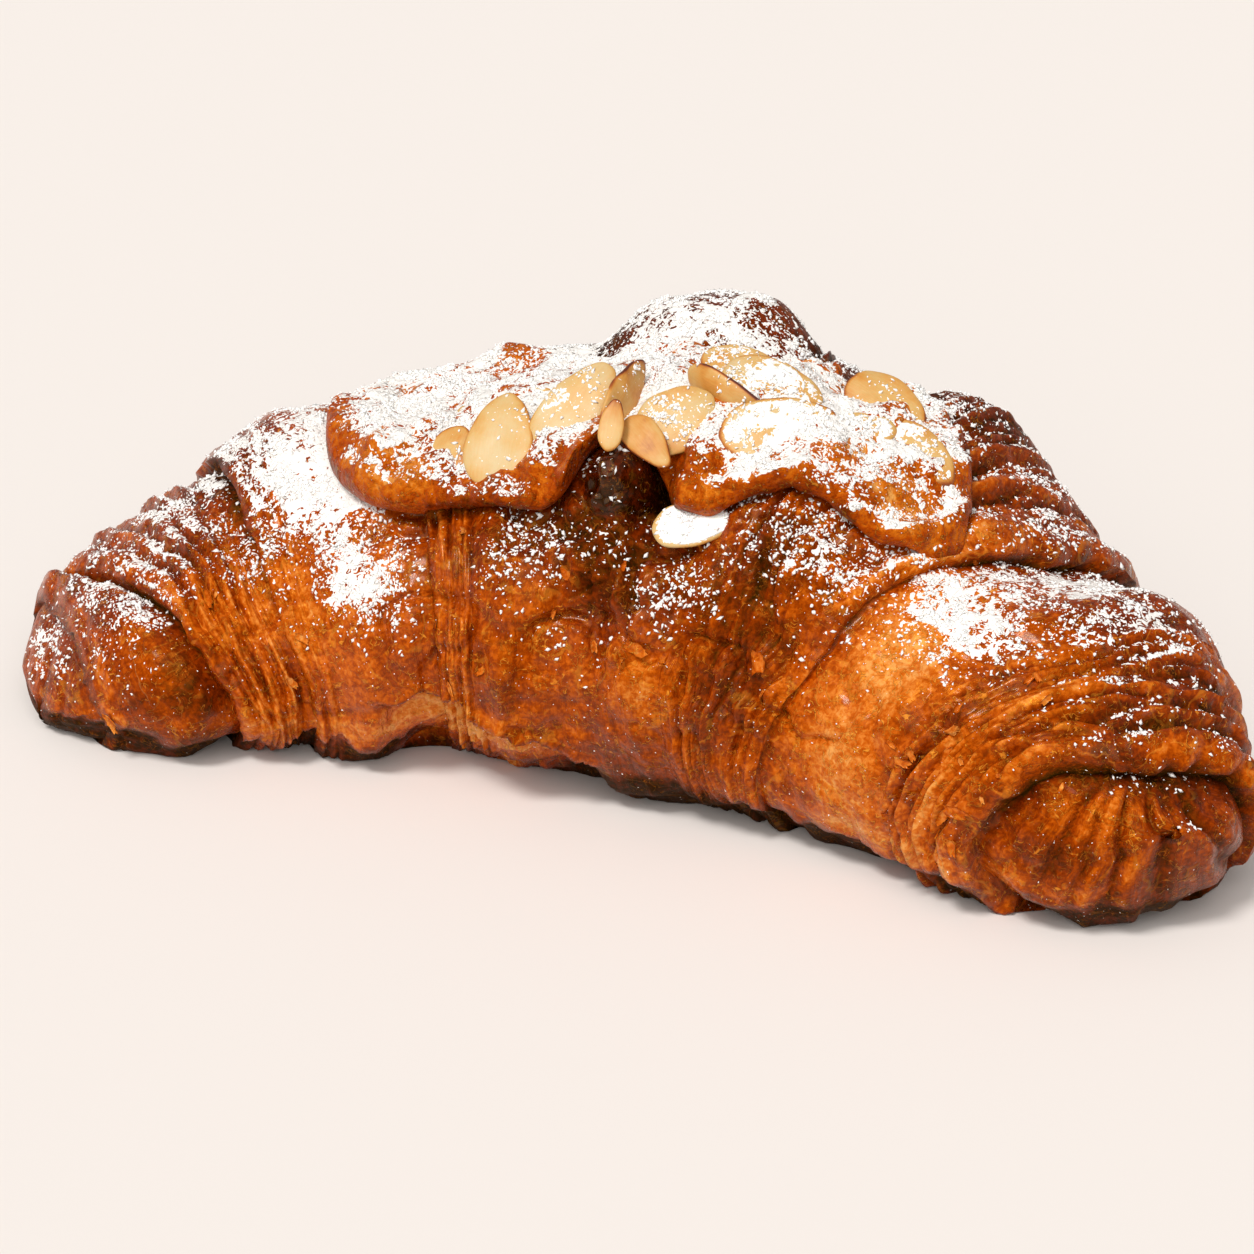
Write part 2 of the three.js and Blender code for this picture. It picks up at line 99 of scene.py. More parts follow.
# Swellings and hollows: place along, turn, spread along, spread round, rise, squareness.
SWELLINGS = [
    (2.5, 112, 10.5, 11, 8.6, 2),
    (40, 54, 7.5, 8, 5.5, 1),
    (-20, 108, 6, 5, 3, 1),
    (-57, 100, 7, 10, 3.5, 1),
    (38, 118, 8, 9, 6, 1),
    (27, 110, 4, 9, -3, 1),
    (77, 122, 8, 8, 2.5, 1),
    (62, 115, 7, 9, -3.2, 1),
    (-18, 92, 20, 15, -5.5, 1),
    (6.3, 49, 4.8, 4.8, 5.5, 1),
    (14.8, 50, 2.6, 5, -5, 1),
]
# Ellipses on the surface: middle along and turn, half sizes along and round.
NOSE = (7.2, 48.5, 7.0, 5.6)
HOLLOW = (15.4, 50, 2.4, 4.2)
# The foot of the crust: how high its skirt is, and how far it stands back.
SKIRT_HEIGHT = 4.6
SKIRT_SETBACK = 1.6
# A ridged band takes up no more than this share of its turn of dough.
BAND_SHARE = 0.85
# The wrinkles of the gathered ends.
KNOB_WRINKLES = 13
KNOB_DEPTH = 0.9
# The cream's outline as places along and turns, in front and behind.
CREAM_FRONT = [
    [-49, 78], [-48.2, 63], [-44, 52], [-37.5, 46], [-28, 43], [-18, 41], [-8, 40], [-3, 44], [-1, 51],
    [3, 58], [8.5, 58], [13.5, 52], [19, 45.5], [26, 46], [30, 50], [35, 55], [43, 60], [50, 61], [55.5, 67],
    [57, 78],
]
CREAM_BACK = [
    [54, 88], [47, 97], [36, 103], [24, 102], [13, 92],
    [1, 93], [-12, 99], [-26, 105], [-38, 104], [-46, 94],
]
CREAM_THICKNESS = 4.4
CREAM_SEAT = 0.8
CREAM_MIDDLE = 80
# The section of its edge, from the underside round to the top: share of the outline, share of the thickness.
CREAM_LIP = [
    [0.6, 0], [0.9, 0], [0.955, 0.12], [0.992, 0.25], [1, 0.48], [0.988, 0.72], [0.955, 0.9], [0.86, 1],
    [0.6, 1.03], [0.28, 1.05], [0.0, 1.05],
]
# Almond flakes: place along, turn, lift, length, width, yaw, pitch, roll, curl.
FLAKE_THICKNESS = 0.9
FLAKES = {
    "flake_front_left": (-18.3, 56, 5.6, 14.4, 9.8, 83, -9, 7, 0.8),
    "flake_far_left": (-28, 55, 5.1, 11, 8.2, 67, -7, 9, 0.5),
    "flake_long_diagonal": (-5.7, 62, 6, 17, 8.4, 60, -14, 24, 1),
    "flake_on_edge": (2.9, 65, 6.6, 15.5, 6.2, 88, 0, 68, 0.7),
    "flake_sliver": (5.4, 55, 5.4, 7.4, 3.4, 94, -21, 11, 0.3),
    "flake_over_hollow": (11.4, 55, 5.2, 9.4, 5, -32, 14, 9, 0.4),
    "flake_broad": (14, 62, 5.9, 12, 9.2, 57, -9, 17, 0.9),
    "flake_behind": (15.8, 83, 4.3, 11.5, 6.8, 16, 2, 14, 0.6),
    "flake_top_right": (23.2, 78, 5.2, 14.6, 9.6, 20, 1, 10, 0.9),
    "flake_curved_edge": (18.3, 71, 5.6, 12.4, 4.6, -7, 0, 66, 1.4),
    "flake_big_right": (31, 67.5, 5.7, 16.4, 9.4, 48, -5, 11, 0.9),
    "flake_spotted": (37.5, 89, 4.6, 12.6, 8.6, 10, 7, 21, 0.8),
    "flake_under_sugar": (39.3, 77, 4.4, 12, 7.6, 69, -6, 5, 0.6),
    "flake_far_right": (46, 84, 4.2, 13, 7.6, 8, 6, 13, 0.8),
    "flake_small_back": (-14.6, 68.5, 5, 7.4, 5.6, 8, 1, 5, 0.3),
    "flake_small_left": (-24, 70, 4.9, 9, 5.4, -29, 4, 3, 0.5),
    "flake_on_pastry": (24, 43.5, 1.3, 11.4, 6.2, 30, 0, 2, 0.8),
}

# How each flake looks: sugar on it, how toasted it is, how much brown skin its rim keeps.
FLAKE_LOOKS = {
    "flake_front_left": (0.3, 0.24, 0.3),
    "flake_far_left": (0.42, 0.36, 0.4),
    "flake_long_diagonal": (0.55, 0.2, 0.4),
    "flake_on_edge": (0.35, 0.5, 1.0),
    "flake_sliver": (0.06, 0.46, 0.3),
    "flake_over_hollow": (0.06, 0.46, 0.4),
    "flake_broad": (0.6, 0.24, 0.4),
    "flake_behind": (0.75, 0.3, 0.6),
    "flake_top_right": (0.9, 0.3, 0.6),
    "flake_curved_edge": (0.55, 0.45, 1.0),
    "flake_big_right": (0.95, 0.24, 0.6),
    "flake_spotted": (0.3, 0.42, 1.0),
    "flake_under_sugar": (0.9, 0.3, 0.5),
    "flake_far_right": (0.8, 0.3, 0.5),
    "flake_small_back": (0.7, 0.35, 0.4),
    "flake_small_left": (0.6, 0.3, 0.4),
    "flake_on_pastry": (2.4, 0.2, 0.3),
}

# Where the crust is darker or paler than the rest: along, turn, spread along, spread round, amount.
BROWNINGS = [
    (8, 26, 6, 4, 0.38),
    (8, 37, 7, 4, 0.2),
    (-12, 36, 9, 5, 0.2),
    (24, 42, 8, 6, 0.16),
    (28, 26, 6, 5, 0.14),
    (37, 20, 5, 6, 0.12),
    (-20, -14, 12, 5, -0.14),
    (20, 3, 7, 6, -0.08),
    (88, 10, 8, 9, -0.08),
    (-20, 30, 7, 6, 0.12),
    (44, 42, 8, 8, 0.32),
    (-20, 106, 7, 6, 0.42),
    (2, 118, 26, 16, 0.3),
    (45, 112, 22, 18, 0.13),
    (-64, 92, 4, 12, 0.16),
    (-82, 2, 10, 9, 0.21),
    (-5, -4, 20, 7, 0.06),
    (78, 36, 7, 9, 0.13),
    (97, 20, 6, 14, 0.09),
    (30, -2, 6, 6, 0.05),
    (80, 88, 9, 16, 0.08),
    (93, 100, 6, 25, 0.1),
    (58, 70, 9, 11, -0.15),
    (4, -36, 12, 5, 0.5),
    (24, -31, 9, 4.5, 0.45),
    (46, -36, 10, 5, 0.5),
    (-36, -30, 5, 4, 0.35),
    (-22, -34, 5, 4, 0.35),
    (46, 12, 6, 8, 0.08),
    (62, 22, 11, 22, -0.25),
    (-47, 4, 8, 16, -0.03),
    (21, 10, 8, 7, -0.09),
    (66, 60, 8, 10, -0.08),
    (80, 66, 8, 14, -0.07),
    (-76, 40, 8, 18, 0.05),
    (43, 6, 6, 10, 0.06),
    (50, 98, 10, 12, -0.08),
]
# Where the sugar lies thicker or thinner than the slope alone gives.
SUGARINGS = [
    (-56, 84, 7, 14, 0.35),
    (-20, 106, 8, 8, 0.35),
    (-50, 58, 7, 9, 0.6),
    (-45, 40, 7, 7, 0.55),
    (-36, 34, 4, 9, 0.36),
    (-47, 26, 4, 3, 0.5),
    (-38, 22, 4, 6, 0.42),
    (-79, 62, 6, 8, 0.42),
    (-84, 48, 5, 6, 0.3),
    (-15, 36, 5, 4, 0.42),
    (-5, 28, 4, 5, 0.45),
    (-15, 23, 4, 3, 0.3),
    (8, 38, 7, 4, 0.5),
    (24, 28, 6, 5, 0.48),
    (18, 21, 4, 3, 0.36),
    (-2, 13, 4, 3, 0.42),
    (5, 3, 3, 4, 0.3),
    (42, 49, 8, 8, 0.42),
    (29, 34, 4, 4, 0.32),
    (66, 72, 10, 12, 0.04),
    (56, 58, 7, 7, 0.25),
    (64, 49, 7, 6, 0.3),
    (50, 68, 5, 7, 0.2),
    (84, 84, 9, 16, -0.16),
    (80, 105, 9, 12, 0.15),
    (50, 100, 10, 12, 0.12),
    (86, 80, 5, 6, 0.12),
    (3, 112, 12, 12, 0.45),
    (18, 108, 6, 8, -0.35),
    (-33, 40, 4, 8, -0.2),
    (86, 50, 6, 18, -0.3),
]
# Small bumps of the front: place along, turn, spread along, spread round, rise.
BUMPS = [
    (-16, 31, 6, 5, 1.1),
    (8, 36, 6, 3.5, 1.6),
    (20, 5, 6, 5, 1.4),
    (-18, 6, 9, 6, 1.4),
    (-3, -4, 6, 5, 0.9),
    (31, 29, 5, 5, 1.0),
    (46, 26, 5, 4, -1.0),
    (-6, 14, 5, 4, 0.8),
    (34, 4, 5, 7, 0.9),
    (-47, 12, 6, 9, 0.9),
    (62, 26, 9, 12, 0.8),
    (9, 18, 4, 4, -0.8),
]
# The torn lower edge of the outer layer in the middle of the front: place along, turn.
LEDGE = [[-48, -4], [-42, -7], [-33, -8], [-27, -9], [-18, -14], [-12, -17], [-3, -20], [5, -26]]

# How far apart the crust's columns are: on plain dough, on the ridged bands and on the ends.
PLAIN_STEP = 0.85
BAND_STEP = 0.34
END_STEP = 0.3
# What the finish needs to know of the relief at each place, also to paint shade and light.
FACT_KEYS = ("crest", "band", "foot", "lip")
# An almond slice from its middle over its rim and back: shares of its size, and the side that each is on.
FLAKE_HALF = [0.0, 0.18, 0.36, 0.54, 0.7, 0.83, 0.92, 0.97, 0.995, 1.0]
FLAKE_SIDES = [-1.0] * 6 + [-0.96, -0.8, -0.45, 0, 0.45, 0.8, 0.96] + [1.0] * 6
FLAKE_CORNERS = 64
# A chip of crust is a small grid of points above and below.
CHIP_LONG = 7
CHIP_WIDE = 5
CHIP_CORNERS = CHIP_LONG * CHIP_WIDE
CHIP_THICKNESS = 0.16
# How far grains of sugar lean from the surface that they lie on, as a share of upright.
GRAIN_TILT = 0.5
# Nothing is scattered on the foot of the crust below this height.
BARE_FOOT = 0.8

# Each sun: its name, its setting, and its width, azimuth and elevation in degrees.
SUNS = (("Key light", "key_light", 14, -20, 60), ("Fill light", "fill_light", 60, 14, 44))
SUN_COLOUR = (1.0, 0.99, 0.98)
SKY_COLOUR = (0.97, 0.985, 0.98, 1)
# The floor and the camera are in metres. The floor lies a hair below the part and reaches far out.
FLOOR_REACH = 60.0
FLOOR_DROP = 0.0002
CAMERA_AIM = (0.0016, -0.0181, 0.022)
CAMERA_AZIMUTH = 20
CAMERA_ELEVATION = 26
CAMERA_LENS = 100
CAMERA_SENSOR = 36
# How bright a place is, against the floor, where a colour was matched.
SUGAR_LIGHT = 1.08
CREAM_LIGHT = 1.06
ALMOND_LIGHT = 1.2
# What shines from the baked pieces is warm, so dark places stay clear of a veil.
WARM_SHINE = (1.0, 0.5, 0.04, 1)


def smooth(low, high, x):
    """0 below low, 1 above high, and a soft rise between them."""
    t = np.clip((x - low) / (high - low), 0, 1)
    return t * t * (3 - 2 * t)


def bell(x):
    """1 at 0, falling away on both sides."""
    return np.exp(-0.5 * x * x)


def curve_through(points):
    """A smooth curve through [place, value] pairs, for arrays of places."""
    x = np.array([p[0] for p in points], float)
    y = np.array([p[1] for p in points], float)
    last = len(x) - 1
    ahead = np.minimum(np.arange(last + 1) + 1, last)
    behind = np.maximum(np.arange(last + 1) - 1, 0)
    slope = (y[ahead] - y[behind]) / (x[ahead] - x[behind])

    def value(at):
        at = np.asarray(at, float)
        i = np.searchsorted(x[1:-1], at, side="left")
        width = x[i + 1] - x[i]
        t = np.clip((at - x[i]) / width, 0, 1)
        h = t * t * (3 - 2 * t)
        bend = width * t * (1 - t) * ((1 - t) * slope[i] - t * slope[i + 1])
        return y[i] * (1 - h) + y[i + 1] * h + bend

    return value


def seam_curve(distances):
    """A seam's distance from the middle at any turn round the section."""
    points = []
    for lap in (-360, 0, 360):
        points += [[turn + lap, at] for turn, at in zip(SEAM_TURNS, distances)]
    return curve_through(points)


for each_half in (LEFT, RIGHT):
    each_half["width"] = curve_through([[s[0], s[1]] for s in each_half["stations"]])
    each_half["height"] = curve_through([[s[0], s[2]] for s in each_half["stations"]])
    for each_seam in each_half["seams"]:
        each_seam["curve"] = seam_curve(each_seam["at"])
CREAM_FRONT_LINE = curve_through(CREAM_FRONT)
CREAM_BACK_LINE = curve_through(CREAM_BACK[::-1])
LEDGE_LINE = curve_through(LEDGE)
SURFACES = []


def unevenness(along, turn, wave, around, terms, seed):
    """Slow waves over the surface, the same as in the solid model."""
    total = 0
    for i in range(terms):
        g = GOLDEN_ANGLE * (i + seed)
        k = (2 * math.pi / wave) * math.cos(g) * (1 + 0.13 * i)
        n = math.floor(around * math.sin(g) * (1 + 0.17 * i) + 0.5)
        total = total + np.sin(k * along + n * turn * DEG + 1.7 * i * i + seed)
    return total / math.sqrt(terms)


RANDOM_BLOCK = np.random.default_rng(11).uniform(-1, 1, (64, 64, 64))


def noise(x, y, z=0.0, octaves=1):
    """Random values of about -1 to 1 that change smoothly; x, y and z count waves."""
    total = 0
    for octave in range(octaves):
        size = 2**octave
        spots = [np.asarray(v, float) * size + 17.3 * octave for v in np.broadcast_arrays(x, y, z)]
        cells = [np.floor(v).astype(int) for v in spots]
        parts = [v - c for v, c in zip(spots, cells)]
        parts = [p * p * (3 - 2 * p) for p in parts]
        for corner in range(8):
            bits = [corner >> n & 1 for n in range(3)]
            weight = 1.0
            for bit, part in zip(bits, parts):
                weight = weight * (part if bit else 1 - part)
            place = tuple((cell + bit) % 64 for cell, bit in zip(cells, bits))
            total = total + weight * RANDOM_BLOCK[place] / size
    return 1.6 * total


def backness(turn):
    """0 at the front of the section and 1 at its back."""
    return smooth(50, 90, turn) * (1 - smooth(240, 265, turn))


def how_bold(seam, turn):
    """How strongly a seam shows at each turn round the section."""
    return seam["front"] + (seam["back"] - seam["front"]) * backness(turn)


def under_cream(along, turn):
    """1 where the cream covers the pastry and 0 beside it."""
    across = smooth(0, 5, turn - CREAM_FRONT_LINE(along)) * smooth(0, 5, CREAM_BACK_LINE(along) - turn)
    return across * smooth(0, 4, along - CREAM_FRONT[0][0]) * smooth(0, 4, CREAM_FRONT[-1][0] - along)


def swell(along, turn, reach):
    """The relief of the swellings and hollows."""
    total = 0
    for at, at_turn, long, wide, rise, square in SWELLINGS:
        a = (along - at) / long
        b = (turn - at_turn) * DEG * reach / wide
        total = total + rise * np.exp(-0.5 * (a * a + b * b) ** square)
    return total


def relief(half, k, part, turn, distance):
    """Relief outwards in the turn of dough that ends at seam k, and what a finish needs to know of it."""
    along = half["side"] * distance
    seams = half["seams"]
    seam = seams[k] if k < len(seams) else None
    before = seams[k - 1] if k else None
    bare = 1 - under_cream(along, turn)
    out = 0.8 * unevenness(along, turn, 34, 2, 5, 3) + 0.3 * unevenness(along, turn, 12, 5, 6, 9)
    none = np.zeros(np.broadcast(distance, turn).shape)
    facts = {key: none.copy() for key in FACT_KEYS}
    if before:
        shows = bare * how_bold(before, turn)
        past = distance - before["curve"](turn)
        facts["foot"] = np.exp(-np.maximum(past, 0) / 1.3) * shows * min(1, before["step"] / 2.6)
        fade = 1 - smooth(0, 0.6, part) if seam else 1
        out = out - before["step"] * shows * fade
    if seam:
        shows = bare * how_bold(seam, turn)
        start = before["curve"](turn) if before else 0
        gap = seam["curve"](turn) - start
        left = (1 - part) * gap
        band = np.minimum(seam["band"], BAND_SHARE * gap)
        out = out + seam["dome"] * np.sin(math.pi * part)
        out = out + 0.25 * seam["step"] * shows * np.exp(-(((left - 1) / 2) ** 2))
        inside = left < band
        place = seam["ridges"] * (1 - left / band)
        ridge = np.floor(place + 1e-6)
        rise = place - ridge
        crest = np.where(rise < 0.7, smooth(0, 0.7, rise), 1 - smooth(0.7, 1, rise))
        uneven = none.copy()
        for number in range(seam["ridges"] + 1):
            own = 0.75 + 0.5 * unevenness(along, turn, 40, 4, 4, 11 * k + number + 2 * half["side"])
            uneven = np.where(ridge == number, own, uneven)
        depth = seam["depth"] * shows * np.maximum(0.15, uneven)
        out = out + np.where(inside, depth * (1.6 * crest - 0.8), 0)
        facts["crest"] = np.where(inside, (2 * crest - 1) * shows * np.clip(uneven, 0.2, 1.2), 0)
        facts["band"] = smooth(band * 1.25, band * 0.9, left) * shows
        facts["lip"] = np.exp(-left / 0.9) * shows
    else:
        groove = np.abs(np.sin(KNOB_WRINKLES / 2 * turn * DEG + 0.5 * unevenness(along, turn, 20, 2, 3, 5)))
        out = out - 0.3 * KNOB_DEPTH * (1 - groove) ** 2 * smooth(0, 0.4, part)
    reach = np.maximum(half["width"](distance), 20)
    return out + swell(along, turn, reach), facts


def surface_point(half, distance, turn, out, rounding=1.0, skirt=0.0):
    """Points of the surface from distance, turn and relief, as an array of x, y, z."""
    bend = half["side"] * distance / BEND_RADIUS
    height = half["height"](distance)
    c = np.cos(turn * DEG)
    s = np.sin(turn * DEG)
    moved = 1 - rounding
    across = (half["width"](distance) + out) * rounding * c - half["nose"][0] * moved
    up = AXIS_SHARE * height + (height * (1 - AXIS_SHARE) + out) * rounding * s + half["nose"][1] * moved
    edge = SKIRT_HEIGHT + 1.2 * unevenness(half["side"] * distance, 0, 23, 0, 4, 6) + skirt
    under = 1 - smooth(edge - 1.2, edge + 0.6, up)
    across = across - np.sign(c) * np.minimum(SKIRT_SETBACK, np.abs(across)) * under
    x = BEND_RADIUS * np.sin(bend) - np.sin(bend) * across
    y = BEND_RADIUS * (np.cos(bend) - 1) - np.cos(bend) * across
    return np.stack(np.broadcast_arrays(x, y, up), -1) + CENTRE, under


def pastry_relief(along, turn):
    """The pastry's relief at any places along and round it."""
    along, turn = np.broadcast_arrays(np.asarray(along, float), np.asarray(turn, float))
    total = np.zeros(along.shape)
    for half in (LEFT, RIGHT):
        mine = (along < 0) == (half is LEFT)
        distance = np.abs(along)
        start = np.zeros(along.shape)
        for k in range(len(half["seams"]) + 1):
            last = k == len(half["seams"])
            end = half["length"] + 0 * start if last else half["seams"][k]["curve"](turn)
            inside = mine & (distance >= start) & ((distance <= end) | last)
            if inside.any():
                part = (distance - start) / (end - start)
                found, _ = relief(half, k, part, turn, distance)
                total = np.where(inside, found, total)
            start = end
    return total


def above(along, turn, lift, relieved=None):
    """Points a given height above the pastry."""
    along, turn = np.broadcast_arrays(np.asarray(along, float), np.asarray(turn, float))
    if relieved is None:
        relieved = pastry_relief(along, turn)
    left, _ = surface_point(LEFT, np.abs(along), turn, relieved + lift)
    right, _ = surface_point(RIGHT, np.abs(along), turn, relieved + lift)
    return np.where((along < 0)[..., None], left, right)


def directions(along, turn, lift):
    """The directions along, round and out at one place, as the columns of a matrix."""
    first = above(along + 1, turn, lift, 0) - above(along - 1, turn, lift, 0)
    first = first / np.linalg.norm(first)
    second = above(along, turn + 1, lift, 0) - above(along, turn - 1, lift, 0)
    second = second - first * (first @ second)
    second = second / np.linalg.norm(second)
    return np.stack([first, second, np.cross(first, second)], 1)


def rotation(yaw, pitch, roll):
    """A rolled, then pitched, then turned frame."""
    a, b, c = yaw * DEG, pitch * DEG, roll * DEG
    turn = np.array([[math.cos(a), -math.sin(a), 0], [math.sin(a), math.cos(a), 0], [0, 0, 1]])
    tilt = np.array([[math.cos(b), 0, math.sin(b)], [0, 1, 0], [-math.sin(b), 0, math.cos(b)]])
    lean = np.array([[1, 0, 0], [0, math.cos(c), -math.sin(c)], [0, math.sin(c), math.cos(c)]])
    return turn @ tilt @ lean


# Meshes.


def grid_faces(columns, rows, closed_rows=True):
    """Four-sided faces of a grid of points numbered column by column."""
    c, r = np.meshgrid(np.arange(columns - 1), np.arange(rows if closed_rows else rows - 1), indexing="ij")
    r2 = (r + 1) % rows
    faces = np.stack([c * rows + r, (c + 1) * rows + r, (c + 1) * rows + r2, c * rows + r2], -1)
    return faces.reshape(-1, 4)


def make_piece(name, points, faces, material, attributes=None, replaces=()):
    """A mesh object from points in millimetres that rides on the croissant."""
    mesh = bpy.data.meshes.new(name)
    mesh.from_pydata((np.asarray(points) * MM).tolist(), [], [list(f) for f in faces])
    mesh.validate()
    mesh.update()
    for key, values in (attributes or {}).items():
        layer = mesh.attributes.new(key, "FLOAT", "POINT")
        layer.data.foreach_set("value", np.ascontiguousarray(values, np.float32).ravel())
    mesh.polygons.foreach_set("use_smooth", [True] * len(mesh.polygons))
    mesh.materials.append(material)
    made = bpy.data.objects.new(name, mesh)
    bpy.context.scene.collection.objects.link(made)
    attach(made, "root")
    if replaces:
        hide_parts(*replaces)
    return made


def facing_out(points, faces):
    """The same faces, turned over if the closed surface faces in."""
    a, b, c, d = (points[faces[:, i]] for i in range(4))
    volume = np.einsum("ij,ij->i", (a + b + c + d) / 4 - points.mean(0), np.cross(c - a, d - b)).sum()
    return faces if volume > 0 else faces[:, ::-1]


def vertex_normals(points, faces):
    """Unit normals of points, from four-sided faces."""
    a, b, c, d = (points[faces[:, i]] for i in range(4))
    normal = np.cross(c - a, d - b)
    total = np.zeros_like(points)
    for i in range(4):
        np.add.at(total, faces[:, i], normal)
    return total / np.maximum(np.linalg.norm(total, axis=1, keepdims=True), 1e-9)


# The crust.


def fine_turns():
    """Rows round the section: close where it shows, wider on the underside."""
    rows = list(np.arange(-42, 150, 1.05))
    rows += list(np.arange(150, 214, 1.6))
    rows += list(np.arange(216, 316, 7))
    return np.array(rows)


def fine_columns(half):
    """Columns from the middle out: turn of dough, share of its plain part, share of its ridged band."""
    columns = []
    start = 0
    for k, seam in enumerate(half["seams"]):
        end = sum(seam["at"]) / len(seam["at"])
        gap = end - start
        band = min(seam["band"], BAND_SHARE * gap)
        plain = math.ceil((gap - band) / PLAIN_STEP)
        fine = math.ceil(band / BAND_STEP)
        columns += [(k, i / plain, 0.0) for i in range(plain)]
        columns += [(k, 1.0, i / fine) for i in range(fine + 1)]
        start = end
    last = math.ceil((half["length"] - start) / END_STEP)
    columns += [(len(half["seams"]), i / last, None) for i in range(last)]
    return columns


def half_grid(half, turns):
    """Grids of place and relief for one half, a row for each column of the mesh."""
    grids = {key: [] for key in ("distance", "round", "out", "layer", *FACT_KEYS)}
    for k, share, band_share in fine_columns(half):
        before = half["seams"][k - 1] if k else None
        start = before["curve"](turns) if k else 0 * turns
        start_mean = np.mean(before["at"]) if k else 0
        lean = 0 * turns
        if k < len(half["seams"]):
            seam = half["seams"][k]
            gap = seam["curve"](turns) - start
            band = np.minimum(seam["band"], BAND_SHARE * gap)
            part = (share * (gap - band) + band_share * band) / gap
            distance = start + part * gap
            layer = start_mean + part * (np.mean(seam["at"]) - start_mean)
            lean = 0.42 * seam["step"] * how_bold(seam, turns) * smooth(0.86, 1, band_share)
        else:
            angle = math.pi / 2 * share**0.8
            part = share + 0 * turns
            distance = start + (half["length"] - start) * math.sin(angle)
            layer = start_mean + (distance - start)
        if k and share < 0.12:
            lean = -0.25 * before["step"] * how_bold(before, turns) * (1 - smooth(0, 0.12, share))
        if band_share:
            drift = 0.8 * noise(turns / 20, layer / 7, 3 * k + half["side"], 2)
            warped = part + drift * smooth(0, 0.15, band_share) * smooth(1, 0.85, band_share) / gap
            out, facts = relief(half, k, np.clip(warped, 0, 1), turns, distance)
            lean = lean * (1 + 0.45 * noise(turns / 8, k, 0.7, 2))
        else:
            out, facts = relief(half, k, part, turns, distance)
        distance = distance + lean
        t = np.maximum(0, (distance - (half["length"] - half["rounding"])) / half["rounding"])
        grids["distance"].append(distance)
        grids["round"].append(np.maximum(1 - t**2.4, 0) ** (1 / 2.4))
        grids["out"].append(out)
        grids["layer"].append(layer)
        for key in FACT_KEYS:
            grids[key].append(facts[key])
    return {key: np.array(value) for key, value in grids.items()}


def spots(table, along, turn, reach):
    """The sum of soft spots from a table of along, turn, spreads and amount."""
    total = 0
    for at, at_turn, long, wide, amount in table:
        total = total + amount * bell((along - at) / long) * bell((turn - at_turn) * DEG * reach / wide)
    return total


def ellipse(shape, along, turn, reach):
    """How far a place is from an ellipse's middle, 1 on its rim."""
    at, at_turn, long, wide = shape
    return np.hypot((along - at) / long, (turn - at_turn) * DEG * reach / wide)


def plates(layer, arc, spacing, length, seed):
    """Thin torn layers that overlap: each rises slowly and drops at its edge, here and there."""
    u = layer / spacing + 0.5 * noise(arc / 30, seed, 0.5)
    u = u + 0.2 * noise(arc / 11, layer / spacing / 4, seed)
    u = u + 0.05 * noise(arc / 2.5, layer / spacing, seed + 0.3)
    number = np.floor(u)
    rise = u - number
    strength = smooth(-0.45, 0.5, noise(arc / length, number * 5.37, seed + 0.5))
    profile = np.where(rise < 0.84, smooth(-0.2, 0.84, rise), 1 - smooth(0.84, 1, rise)) - 0.55
    return profile * strength


def end_folds(half, along, turn, grid):
    """Folds that fan down a horn's end: its share, the places across and up, and the folds' rise."""
    distance = np.abs(along)
    last = half["seams"][-1]["curve"](turn)
    end = smooth(0.5, 4, distance - last)
    across = half["width"](distance) * grid["round"] * np.cos(turn * DEG)
    up = half["height"](distance) * (0.4 + 0.6 * grid["round"] * np.sin(turn * DEG))
    spread = distance - across - half["length"] + 9
    fan = np.arctan2(spread - 3, np.maximum(36 - up, 4))
    wave = 4.6 * fan + 0.5 * noise(1.3 * fan, 3.1, 2.2)
    fold = np.abs(np.sin(math.pi * wave))
    strength = np.clip(0.62 + 0.55 * noise(0.7 * wave, 8.8), 0.15, 1.1)
    crease = (1.4 * smooth(-0.05, 0.75, fold) - 1.1) * strength * smooth(-0.1, 0.5, up / 12)
    thin = 0.3 * noise(8 * fan, up / 26, 4.9, 2) + 0.3 * noise(spread / 9, up / 11, 6.2, 2)
    amount = 1.0 if half["side"] > 0 else 0.35
    return end, 22 * fan, up, end * (crease + thin) * amount


